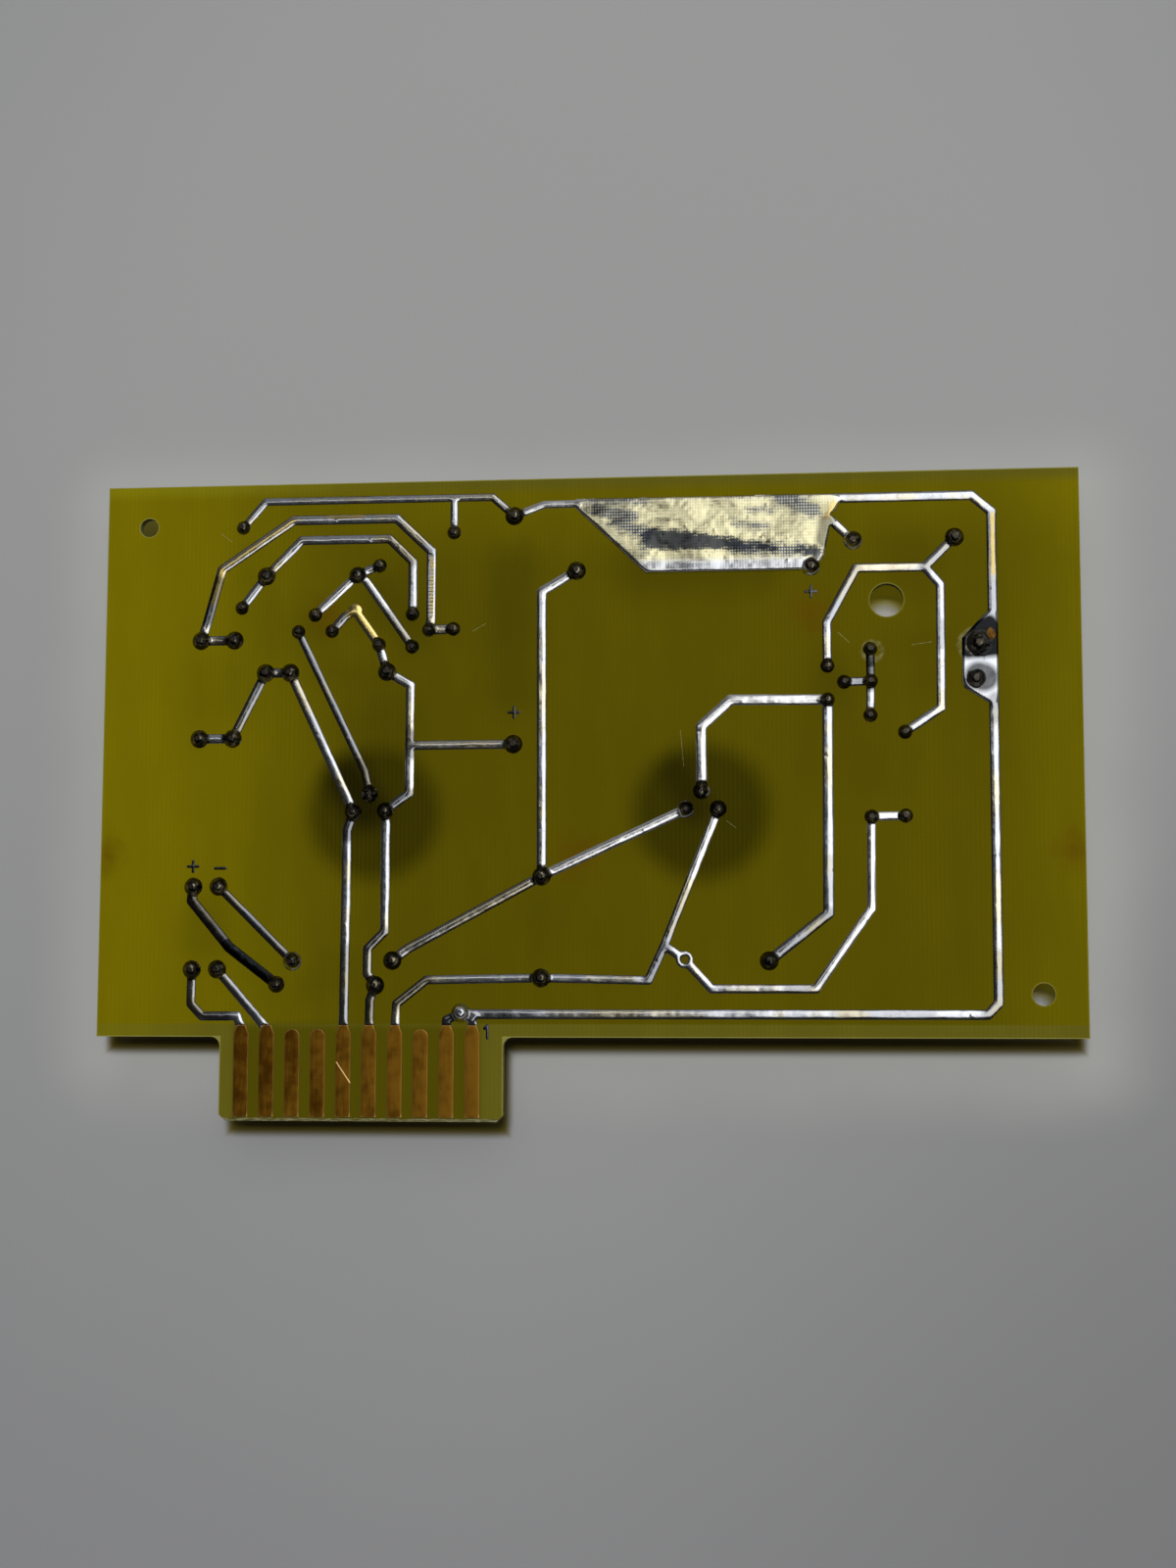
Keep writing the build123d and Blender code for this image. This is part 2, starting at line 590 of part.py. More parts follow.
def write(nodes):
    os.makedirs("parts", exist_ok=True)
    for name, solids in nodes.items():
        shape = solids[0] if len(solids) == 1 else Compound(children=solids)
        export_step(shape, f"parts/{name}.step")


write(build())
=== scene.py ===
import math
from collections import namedtuple

import bmesh
import bpy
import numpy as np
from mathutils import Matrix, Vector

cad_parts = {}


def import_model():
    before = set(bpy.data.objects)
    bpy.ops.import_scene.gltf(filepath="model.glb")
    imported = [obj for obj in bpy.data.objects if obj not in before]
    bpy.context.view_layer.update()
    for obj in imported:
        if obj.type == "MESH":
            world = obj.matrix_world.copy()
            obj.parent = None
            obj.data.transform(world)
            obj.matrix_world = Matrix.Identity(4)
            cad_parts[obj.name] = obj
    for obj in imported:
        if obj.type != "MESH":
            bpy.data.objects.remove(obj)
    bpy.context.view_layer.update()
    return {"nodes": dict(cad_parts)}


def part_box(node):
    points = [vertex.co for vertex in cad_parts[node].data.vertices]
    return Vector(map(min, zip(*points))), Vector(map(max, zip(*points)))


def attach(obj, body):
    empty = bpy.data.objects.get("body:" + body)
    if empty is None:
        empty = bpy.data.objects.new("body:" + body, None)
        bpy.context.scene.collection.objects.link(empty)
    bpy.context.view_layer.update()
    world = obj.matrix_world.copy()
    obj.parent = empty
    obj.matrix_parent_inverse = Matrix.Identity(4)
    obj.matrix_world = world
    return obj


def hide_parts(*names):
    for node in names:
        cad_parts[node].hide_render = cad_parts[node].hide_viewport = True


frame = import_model()

MM = 0.001
NODES = frame["nodes"]
TRACKS = sorted(name for name in NODES if name.startswith("track_"))
RESISTORS = sorted(name for name in NODES if name.startswith("resistor_") and name != "resistor_leads")
BOARD_LOW, BOARD_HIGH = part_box("laminate_board")
CONTACTS_LOW, CONTACTS_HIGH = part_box("edge_contacts")
TOP = BOARD_HIGH.z                       # the soldered face of the laminate
UNDERSIDE = BOARD_LOW.z
MAIN_EDGE_Y = BOARD_LOW.y + 12.7 * MM    # where the card-edge tab meets the main board
TAB_X = [vert.co.x for vert in NODES["laminate_board"].data.vertices if vert.co.y < MAIN_EDGE_Y - 4 * MM]
TAB_LEFT, TAB_RIGHT = min(TAB_X), max(TAB_X)
FLAT = Vector((1, 1, 0))
SHARP_EDGE = math.radians(40)            # a steeper edge isn't smoothed, or is rounded off


def at(x, y, z=0.0):
    """A place on the board in millimetres, from its left edge and the tab's root, above its top face."""
    return Vector((BOARD_LOW.x + x * MM, MAIN_EDGE_Y + y * MM, TOP + z * MM))


# ------------ node materials
def chained(operation):
    """A method of Nodes that joins two or more values, one after another."""
    def method(self, result, *others):
        for other in others:
            result = self.math(operation, result, other)
        return result
    return method


class Nodes:
    """Short calls that add shader nodes to a tree; most return the new node's output."""

    plus, minus, times = chained("ADD"), chained("SUBTRACT"), chained("MULTIPLY")
    least, most = chained("MINIMUM"), chained("MAXIMUM")

    def __init__(self, tree, coordinates):
        self.tree = tree
        self.place = self.add("TexCoord").outputs[coordinates]

    def add(self, kind, inputs=None, **settings):
        """A new node; an input is given a constant or another node's output."""
        node = self.tree.nodes.new("ShaderNode" + kind)
        for key, value in settings.items():
            setattr(node, key, value)
        for key, value in (inputs or {}).items():
            if isinstance(value, bpy.types.NodeSocket):
                self.tree.links.new(value, node.inputs[key])
            else:
                node.inputs[key].default_value = value
        return node

    def math(self, operation, *values, clamp=False):
        return self.add("Math", dict(enumerate(values)), operation=operation, use_clamp=clamp).outputs[0]

    def scaled(self, value, factor, base, clamp=False):
        """The value times a factor, on top of a base."""
        return self.math("MULTIPLY_ADD", value, factor, base, clamp=clamp)

    def vector(self, operation, first, second=(0, 0, 0), output=0, **more):
        return self.add("VectorMath", {0: first, 1: second, **more}, operation=operation).outputs[output]

    def parts(self, vector):
        """The x, y and z of a vector."""
        return self.add("SeparateXYZ", {0: vector}).outputs

    def upward(self):
        """How far the surface faces up: 1 on top, -1 below."""
        return self.parts(self.add("NewGeometry").outputs["Normal"])["Z"]

    def mark(self, name):
        """A value that is stored at the points of the mesh."""
        return self.add("Attribute", attribute_name=name).outputs["Fac"]

    def noise(self, scale, detail=3.0, roughness=0.5, stretch=None):
        """Noise with features of about 1/scale metres, finer along an axis that is stretched."""
        place = self.vector("MULTIPLY", self.place, stretch) if stretch else self.place
        inputs = {"Vector": place, "Scale": scale, "Detail": detail, "Roughness": roughness}
        return self.add("TexNoise", inputs).outputs["Fac"]

    def wave(self, period, direction, distortion=0.5):
        """Even stripes of a period in metres."""
        inputs = {"Vector": self.place, "Scale": math.pi / 10 / period, "Distortion": distortion, "Detail": 1.0}
        return self.add("TexWave", inputs, bands_direction=direction).outputs["Fac"]

    def ramp(self, value, low, high, out_low=0.0, out_high=1.0, kind="SMOOTHSTEP"):
        inputs = {"Value": value, "From Min": low, "From Max": high, "To Min": out_low, "To Max": out_high}
        return self.add("MapRange", inputs, interpolation_type=kind).outputs["Result"]

    def fade(self, value, low, high, full=1.0):
        """Full up to the low value, and nothing from the high one on."""
        return self.ramp(value, low, high, full, 0.0)

    def layers(self, colour, *covers):
        """A colour under others, each with the share that it covers."""
        for share, cover in covers:
            sides = [(*side, 1.0) if isinstance(side, tuple) else side for side in (colour, cover)]
            colour = self.add("Mix", {"Factor": share, 6: sides[0], 7: sides[1]}, data_type="RGBA").outputs[2]
        return colour


class Look(Nodes):
    """A procedural material: a Principled shader and the nodes before it."""

    def __init__(self, name, **constants):
        self.material = bpy.data.materials.new(name)
        self.material.use_nodes = True
        super().__init__(self.material.node_tree, "Object")
        self.shader = self.tree.nodes["Principled BSDF"]
        for socket, value in constants.items():
            self.shader.inputs[socket.replace("_", " ")].default_value = value

    def distance_to(self, start, end=None):
        """Distance, seen from above, to a place or to the straight line between two places."""
        offset = self.vector("SUBTRACT", self.vector("MULTIPLY", self.place, FLAT), start * FLAT)
        along = (start if end is None else end) * FLAT - start * FLAT
        if along.length < 0.1 * MM:
            return self.vector("LENGTH", offset, output="Value")
        share = self.vector("DOT_PRODUCT", offset, along / along.length_squared, output="Value")
        share = self.math("ADD", share, 0.0, clamp=True)
        nearest = self.vector("SCALE", along, Scale=share)
        return self.vector("DISTANCE", offset, nearest, output="Value")

    def near(self, ends, inner, outer, full=1.0):
        """A share that falls off with the distance from a place or a line, all in millimetres on the board."""
        return self.fade(self.distance_to(at(*ends[:2]), at(*ends[-2:])), inner * MM, outer * MM, full)

    def insets(self, x, y):
        """How far inside the main board's left, right, lower and upper side, and inside the whole outline."""
        sides = [self.minus(x, BOARD_LOW.x), self.minus(BOARD_HIGH.x, x), self.minus(y, MAIN_EDGE_Y),
                 self.minus(BOARD_HIGH.y, y)]
        tab = self.least(self.minus(x, TAB_LEFT), self.minus(TAB_RIGHT, x), self.minus(y, BOARD_LOW.y),
                         self.minus(MAIN_EDGE_Y + 5 * MM, y))
        return *sides, self.most(self.least(*sides), tab)

    def set(self, socket, output):
        self.tree.links.new(output, self.shader.inputs[socket])

    def done(self, colour, roughness, height, depth, strength):
        """The material with its colour, its roughness and a bump whose depth is in millimetres."""
        bump = self.add("Bump", {"Height": height, "Distance": depth * MM, "Strength": strength})
        for socket, output in (("Base Color", colour), ("Roughness", roughness), ("Normal", bump.outputs[0])):
            self.set(socket, output)
        return self.material


def solder_finish():
    """Bright but old tin-lead with painted shade on its borders, painted warm reflections that make it pale gold
    in places, painted highlights on listed stretches and painted dark reflections on the foil; black glossy flux
    on the joints.
    """
    look = Look("solder", Metallic=1.0)
    clouds = look.noise(110, 3.0)
    streaks = look.noise(900, 4.0, 0.6)
    grains = look.noise(4600, 2.0)
    rags = look.noise(1500, 4.0, 0.65, stretch=(0.55, 1.2, 1.0))
    imprint = look.times(look.wave(0.42 * MM, "X", 0.4), look.wave(0.46 * MM, "Y", 0.4))
    flux, broad, border, golden, grey, tarnish_and_dark_reflection, highlighted, dull = map(
        look.mark, ("flux", "broad", "border", "golden", "grey", "tarnish_and_dark_reflection", "highlighted", "dull"))

    # Painted warm reflection: the coat golden near the listed lines.
    golden = look.fade(look.scaled(streaks, 0.9, golden), 0.2, 0.7)
    # Painted highlight on the listed stretches.
    highlighted = look.fade(highlighted, -0.2, 0.6)
    # Painted shade: dark, patchy borders along the coat's edges, fewer where highlights and warm reflections are
    # painted.
    border_shade_patchiness = look.ramp(look.plus(streaks, clouds), 0.75, 1.15, 0.55, 1.0)
    shaded_border = look.times(look.ramp(border, 0.18, 0.85), border_shade_patchiness, look.ramp(highlighted, 0.0, 1.0, 1.0, 0.15),
                     look.ramp(golden, 0.0, 1.0, 0.92, 0.35))
    metal = look.layers(
        (0.62, 0.64, 0.68), (look.ramp(clouds, 0.44, 0.62), (0.74, 0.68, 0.52)),       # cool and warm tin
        (look.ramp(streaks, 0.58, 0.76, 0.0, 0.6), (0.36, 0.35, 0.34)), (golden, (0.85, 0.66, 0.24)),
        (highlighted, (0.80, 0.80, 0.80)), (shaded_border, (0.10, 0.105, 0.12)),
        (look.ramp(grains, 0.70, 0.78, 0.0, 0.7), (0.22, 0.20, 0.18)))

    grey = look.fade(look.scaled(rags, 3.4, grey), 0.9, 2.6)
    grey = look.times(grey, look.ramp(imprint, 0.05, 0.6, 1.0, 0.35))
    # Painted dark reflection on the foil, in the listed bands.
    tarnish_and_dark_reflection = look.scaled(rags, 2.6, look.scaled(imprint, 0.35, tarnish_and_dark_reflection))
    y = look.parts(look.place)["Y"]
    foil = look.layers(
        (0.76, 0.71, 0.44), (look.ramp(rags, 0.4, 0.65), (0.70, 0.65, 0.40)),          # the pale wide foil
        (look.fade(imprint, 0.0, 0.45, 0.25), (0.30, 0.29, 0.22)), (grey, (0.075, 0.088, 0.12)),
        (look.fade(y, *(at(0, end).y for end in FOIL_ROLL)), (0.62, 0.64, 0.68)),
        (look.fade(tarnish_and_dark_reflection, 1.1, 1.9, 0.95), (0.024, 0.029, 0.042)),
        (look.times(golden, 0.8), (0.68, 0.51, 0.20)))

    dull = look.ramp(look.scaled(streaks, -0.25, dull), -0.09, 0.80, kind="LINEAR")
    mottled = look.layers((0.028, 0.026, 0.021), (look.ramp(streaks, 0.46, 0.70), (0.27, 0.24, 0.165)))
    colour = look.layers(metal, (broad, foil), (dull, (0.012, 0.013, 0.015)), (flux, mottled))
    relief = look.times(look.scaled(grains, 0.25, streaks), look.ramp(broad, 0.0, 1.0, 1.0, 0.30))
    imprint = look.times(imprint, look.times(broad, 0.8))
    return look.done(colour, look.ramp(streaks, 0.3, 0.7, 0.15, 0.24), look.plus(imprint, relief), 0.0045, 0.9)


def copper_finish():
    """Tarnished bare fingers, browner to the left, with a painted highlight along their borders in bright golden
    copper, and one scratch.
    """
    look = Look("bare_copper", Specular_IOR_Level=0.15, Specular_Tint=(1.0, 0.7, 0.2, 1.0))
    tarnish_and_dark_reflection = look.noise(420, 5.0, 0.6)
    rubbed = look.noise(2600, 3.0, 0.6, stretch=(1.0, 0.10, 1.0))
    x = look.parts(look.place)["X"]
    worn = look.ramp(x, CONTACTS_LOW.x, CONTACTS_HIGH.x, -0.12, 0.34, kind="LINEAR")
    worn = look.plus(look.scaled(rubbed, 0.5, tarnish_and_dark_reflection), worn)
    # Painted highlight along the contacts' borders, which are more metallic there too.
    bright = look.times(look.ramp(look.mark("border"), 0.15, 0.75), look.ramp(rubbed, 0.25, 0.6, 0.5, 1.0))
    scratch = look.near((37.6, -3.8, 39.8, -7.0), 0.05, 0.12)
    look.set("Metallic", look.scaled(bright, 0.5, 0.5))
    colour = look.layers((0.062, 0.024, 0.001), (look.ramp(worn, 0.50, 1.15), (0.185, 0.088, 0.007)),
                         (bright, (0.62, 0.36, 0.13)), (scratch, (0.95, 0.62, 0.25)))
    roughness = look.scaled(bright, -0.14, look.ramp(tarnish_and_dark_reflection, 0.3, 0.7, 0.34, 0.46))
    return look.done(colour, roughness, look.plus(tarnish_and_dark_reflection, rubbed), 0.008, 0.5)


def wire_finish():
    """Tinned copper wire, whose cut ends show the brown core."""
    look = Look("tinned_wire", Metallic=1.0)
    dull = look.noise(1400, 4.0)
    height = look.ramp(look.parts(look.place)["Z"], TOP, TOP + 0.3 * MM)
    colour = look.layers((0.36, 0.35, 0.34), (look.ramp(dull, 0.35, 0.65), (0.58, 0.57, 0.55)),
                         (look.times(look.ramp(look.upward(), 0.9, 0.97), height), (0.055, 0.045, 0.036)))
    return look.done(colour, look.ramp(dull, 0.3, 0.7, 0.24, 0.42), dull, 0.02, 0.5)


# Noise scale, detail and roughness of the tone and of the fine grain, where the tone changes, how far the gloss
# varies either way, and the strength of the grain's bump.
MOULDED = ((450, 3.0, 0.5), (6000, 2.0, 0.5), (0.3, 0.7), (0.06, 0.08), 0.6)
DRAWN = ((1200, 4.0, 0.6), (1200, 4.0, 0.6), (0.35, 0.7), (0.07, 0.10), 0.5)
BLACKENED = ((500, 4.0, 0.5), (7000, 2.0, 0.5), (0.3, 0.75), (0.06, 0.08), 0.5)


def plain_finish(name, dark, light, roughness, depth=0.02, kind=MOULDED, **constants):
    """Moulded plastic, or drawn or blackened metal, with an uneven tone and a grain of a depth in millimetres."""
    coarse, fine, change, gloss, strength = kind
    look = Look(name, **constants)
    tone, grain = look.noise(*coarse), look.noise(*fine)
    roughness = look.ramp(grain, 0.3, 0.7, roughness - gloss[0], roughness + gloss[1])
    return look.done(look.layers(dark, (look.ramp(tone, *change), light)), roughness, grain, depth, strength)


# ------------ the laminate
LAMINATE_EDGE = (0.166, 0.136, 0.001)     # where light reaches the sheet from its sides
LAMINATE_MIDDLE = (0.086, 0.0695, 0.001)
LAMINATE_BARE = (0.110, 0.096, 0.009)     # with no coat of mask: the tab and the strip above it
# Painted light: the bare strip lighter towards the board's left edge.
LAMINATE_LIT_BARE_LEFT = (0.155, 0.136, 0.005)
LAMINATE_LIT_HEAD = (0.092, 0.083, 0.010)     # painted light along the far edge, and more at that edge's left end
LAMINATE_LIT_HEAD_LEFT = (0.205, 0.183, 0.004)
LAMINATE_SHADE_BETWEEN_CONTACTS = (0.067, 0.057, 0.001)      # painted shade between the contacts
LAMINATE_DARK = (0.006, 0.005, 0.0004)    # painted shade over the parts behind the sheet, as over a heat sink, and of the darker spots
LAMINATE_RED = (0.096, 0.050, 0.001)
LAMINATE_REWORKED = (0.27, 0.25, 0.12)
LAMINATE_SCRATCHED = (0.30, 0.28, 0.14)
LAMINATE_RIM_HIGHLIGHT = (0.24, 0.225, 0.055)       # painted highlight: the light line along a sawn edge
LAMINATE_SAWN = (0.42, 0.40, 0.24)

# The tables below are in millimetres on the board; a line has the x and y of both its ends.
# Soft reddish clouds in the sheet: x, y and radius.
RED_CLOUDS = [(35, 65, 4.5), (110, 64.5, 5.5), (74.5, 27.5, 6), (1, 28, 4.5), (148.5, 28, 4.5),
    (37.5, -9.5, 3.5)]
# Pale ragged marks left by rework: x, y, radius and width.
REWORK_RINGS = [(119.1, 58.2, 1.35, 1.3), (134.6, 58.9, 2.5, 1.2)]
# Fine scratches: lines.
SCRATCHES = [(18.2, 78.2, 19.9, 76.9), (58, 62.2, 60.1, 63.4), (113.9, 61.2, 115.6, 59.6),
    (125, 59.1, 128, 59.5), (97, 32.6, 98.4, 31.5), (90, 46.5, 90.5, 41)]
# Painted dark reflections in bands across the wide foil area: lines, and the half width at each end.
DARK_REFLECTION_BANDS = [(85.9, 76.2, 99, 74.9, 1.65, 0.8), (99, 74.9, 104.5, 74.3, 0.75, 0.4),
    (108, 74, 110.6, 73.5, 0.4, 0.95)]
# Grey places on the same foil, where the weave shows through: lines and their half width.
GREY_FOIL = [(98.5, 74.4, 108.5, 73.9, 0.95), (76, 82.3, 84.5, 81.9, 0.6), (77, 81, 82.6, 79.4, 1.1),
    (80, 79, 84.6, 77, 1.1), (105.5, 82.3, 110.2, 80, 1.3), (97, 82.5, 106, 82.5, 0.2),
    (98.4, 78.4, 103.5, 77.5, 0.4), (100.5, 80.4, 104, 80.2, 0.4), (84.5, 76.8, 84.5, 74.6, 0.6)]
FOIL_ROLL = (71.9, 73.3)       # y up to which the foil's lower border is bright, and where that ends
# Painted warm reflections, where the coat looks golden: lines and their reach.
GOLDEN_REFLECTIONS = [(39.6, 65.7, 39.6, 65.7, 1.5), (39.6, 65.7, 43, 61.5, 0.7), (17, 67.2, 18.4, 72.5, 0.5),
    (19.6, 73.3, 29.7, 80.1, 0.2), (34, 80.5, 41, 80.5, 0.2), (27, 44.5, 29, 54, 0.1),
    (137.3, 70, 137.3, 79, 0.3), (113.4, 80.9, 112.4, 79, 0.5), (51.6, 73.6, 51.6, 65.6, 0.2)]
# Painted highlights: stretches of the coat brighter and with no dark border: lines and their reach.
HIGHLIGHTED_RUNS = [(65.9, 80.7, 75.5, 81.9, 1.2), (34.4, 66.1, 38.8, 70.3, 1), (93.2, 39, 93.15, 47, 1.3),
    (93.15, 47, 97.6, 51, 1.3), (97.6, 51, 111, 51, 1.3), (118.5, 19.4, 118.6, 31, 1.2),
    (111, 8.4, 118.5, 19.4, 1.2), (69, 68.4, 72.8, 70.6, 1.2), (71, 25.4, 89, 33.6, 1.3),
    (48.4, 39, 48.4, 43, 1), (120, 33.1, 122.5, 33.2, 1), (95.7, 33, 92, 25, 1)]
# Stretches of dulled coat: lines, their reach and the depth of the dulling.
DULLED = [(14.7, 21.5, 20.6, 13.65, 1.3, 0.8), (20.6, 13.65, 26.6, 9, 1.3, 0.93),
    (19.8, 21.9, 29.6, 12.4, 0.6, 0.62), (14.8, 8.9, 14.75, 5, 1, 0.45), (14.75, 5, 19.5, 3.15, 1, 0.6),
    (20, 8.8, 25.8, 3.8, 0.7, 0.45), (31.4, 61.2, 40.9, 41.6, 0.6, 0.55), (40.9, 41.6, 41.9, 38.8, 1, 0.7),
    (16.4, 64.8, 17.9, 70.5, 0.8, 0.72), (46.8, 79.4, 51.2, 75.1, 0.6, 0.4), (45.4, 76.4, 48.3, 73.5, 0.7, 0.5),
    (45.2, 64.8, 47.6, 61.4, 0.7, 0.45), (39.4, 33.6, 38.8, 31, 1, 0.6), (38.75, 13, 38.6, 3, 0.8, 0.45),
    (42.15, 13, 42.15, 9.8, 0.8, 0.4), (42.4, 6.4, 42.5, 3.5, 1, 0.65), (112, 75.5, 112.3, 78, 0.9, 0.6),
    (137.1, 78.5, 137.1, 62, 0.7, 0.35), (137.1, 12, 137.1, 5.4, 0.8, 0.35), (54.4, 3.3, 54.43, 2, 1.2, 0.6),
    (63, 3.5, 58.8, 3.5, 1, 0.45), (22.2, 61.3, 18.8, 61.3, 0.8, 0.5), (63.8, 80.6, 61.6, 82.6, 0.6, 0.4),
    (136.9, 5, 135.8, 3.8, 0.8, 0.4), (48, 36.9, 45.6, 35.2, 0.8, 0.5), (44.5, 15.7, 42.4, 13.7, 0.8, 0.5),
    (24.8, 54.8, 21.4, 47.6, 0.7, 0.5), (47.2, 5.4, 50.9, 8.3, 0.8, 0.45), (36.6, 63.2, 37.8, 64.5, 0.7, 0.4),
    (48.4, 46, 48.4, 43.4, 0.8, 0.6), (129.4, 62, 129.4, 59.5, 0.6, 0.3), (137.3, 50.5, 137.2, 48, 0.8, 0.4),
    (106.5, 7.3, 111.6, 9.2, 0.7, 0.35), (88.4, 16.2, 90.6, 21.6, 0.7, 0.3), (30.2, 54.4, 34.5, 45, 0.6, 0.25),
    (127, 3.5, 113, 3.5, 0.5, 0.25), (112.2, 26.5, 112.2, 21, 0.6, 0.25), (25.9, 57.6, 28.5, 56.1, 1, 0.5),
    (134.2, 61, 136.6, 62.2, 0.9, 0.94), (133.5, 58.7, 137.4, 59, 1.5, 0.96),
    (137.3, 62, 137.5, 58.8, 0.4, 0.94), (134.9, 54.2, 135.7, 53.9, 1.7, 0.8),
    (118.75, 58, 118.78, 56.7, 0.9, 0.9), (118.8, 55.2, 118.8, 53.5, 0.9, 0.75),
    (117.6, 53.6, 116.9, 53.6, 0.7, 0.5), (48.8, 13.8, 66, 23, 0.7, 0.35), (112, 18.4, 104.5, 12.5, 0.9, 0.45),
    (47, 5.2, 51, 8.4, 0.8, 0.55), (85.4, 9.2, 87.5, 13.6, 0.8, 0.55), (87.5, 14.2, 89.5, 19, 0.8, 0.35),
    (130.3, 74.4, 127.4, 71.3, 0.9, 0.35), (116.6, 70.7, 113, 64, 0.8, 0.3)]
# Shade of the heat sinks behind the sheet, a disc and a darker core each: lines, the inner and outer radius of
# the shade round them, and its depth.
SINK_SHADES = [(43, 34.1, 43, 34.1, 7.8, 12.8, 0.69), (38.7, 39.3, 41.6, 34.9, 0.9, 6, 0.95),
    (93.2, 34, 93.2, 34, 7.8, 13, 0.71), (89.4, 40, 92.4, 34.6, 0.4, 4.6, 0.58)]
# Where the sheet is a little darker for no part that shows: x, y, radius and depth.
DARKER = [(45, 67.5, 9, 0.22), (112, 44, 14, 0.11), (125.5, 70.5, 7, 0.14), (60, 64, 9, 0.08),
    (43.5, 48, 12, 0.27)]
BOARD_HOLES = [((6.6, 79.4), 1.45), ((121.3, 66), 2.55), ((143.7, 6.5), 1.65)]     # place and radius


def shade_of(node):
    """How a part behind the sheet shades it: its middle line, radius, softness and depth."""
    low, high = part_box(node)
    middle = (low + high) / 2
    half = (high - low) / 2
    radius = min(half.x, half.y)
    reach = Vector((half.x - radius, half.y - radius, 0))
    soft = 2.8 * MM + (UNDERSIDE - high.z)
    depth = {"capacitor": 0.24, "bridge": 0.20, "small": 0.30}.get(node.split("_")[0], 0.12)
    return middle - reach, middle + reach, radius, soft, depth


def painted_part_shades(look):
    """The covers of painted shade over each part behind the sheet and over the darker spots, and how far the heat
    sinks' painted shade alone reaches.
    """
    covers = []
    for *spot, reach, depth in DARKER:
        covers.append((look.near(spot, 0.0, reach, depth), LAMINATE_DARK))
    for name in sorted(NODES):
        body = name.startswith(("capacitor", "bridge_rect", "small")) and not name.endswith(("leads", "seal"))
        if name in RESISTORS or body:
            start, end, radius, soft, depth = shade_of(name)
            near = look.fade(look.distance_to(start, end), radius - soft, radius + soft, depth)
            covers.append((near, LAMINATE_DARK))
    shaded = 0.0
    for *line, inner, outer, depth in SINK_SHADES:
        near = look.near(line, inner, outer, depth)
        covers.append((near, LAMINATE_DARK))
        shaded = look.most(shaded, near)
    return covers, shaded


def wear(look):
    """The covers of the reddish clouds, of the rework and of the scratches in the sheet's top."""
    covers = []
    blotches = look.noise(420, 3.0)
    for *spot, radius in RED_CLOUDS:
        reach = look.scaled(blotches, 5.0 * MM, look.distance_to(at(*spot)))
        covers.append((look.fade(reach, 2.0 * MM, (radius + 2.5) * MM, 0.70), LAMINATE_RED))
    ragged = look.noise(1300, 4.0, 0.65)
    on_top = look.ramp(look.parts(look.place)["Z"], TOP - 0.6 * MM, TOP - 0.2 * MM)
    for *spot, radius, width in REWORK_RINGS:
        off = look.math("ABSOLUTE", look.minus(look.distance_to(at(*spot)), radius * MM))
        ring = look.times(look.fade(off, 0.0, width * MM), ragged)
        covers.append((look.times(look.ramp(ring, 0.28, 0.66, 0.0, 0.50), on_top), LAMINATE_REWORKED))
    for x1, y1, x2, y2 in SCRATCHES:
        line = look.scaled(ragged, 0.14 * MM, look.distance_to(at(x1, y1), at(x2, y2)))
        covers.append((look.times(look.fade(line, 0.07 * MM, 0.14 * MM, 0.5), on_top), LAMINATE_SCRATCHED))
    return covers


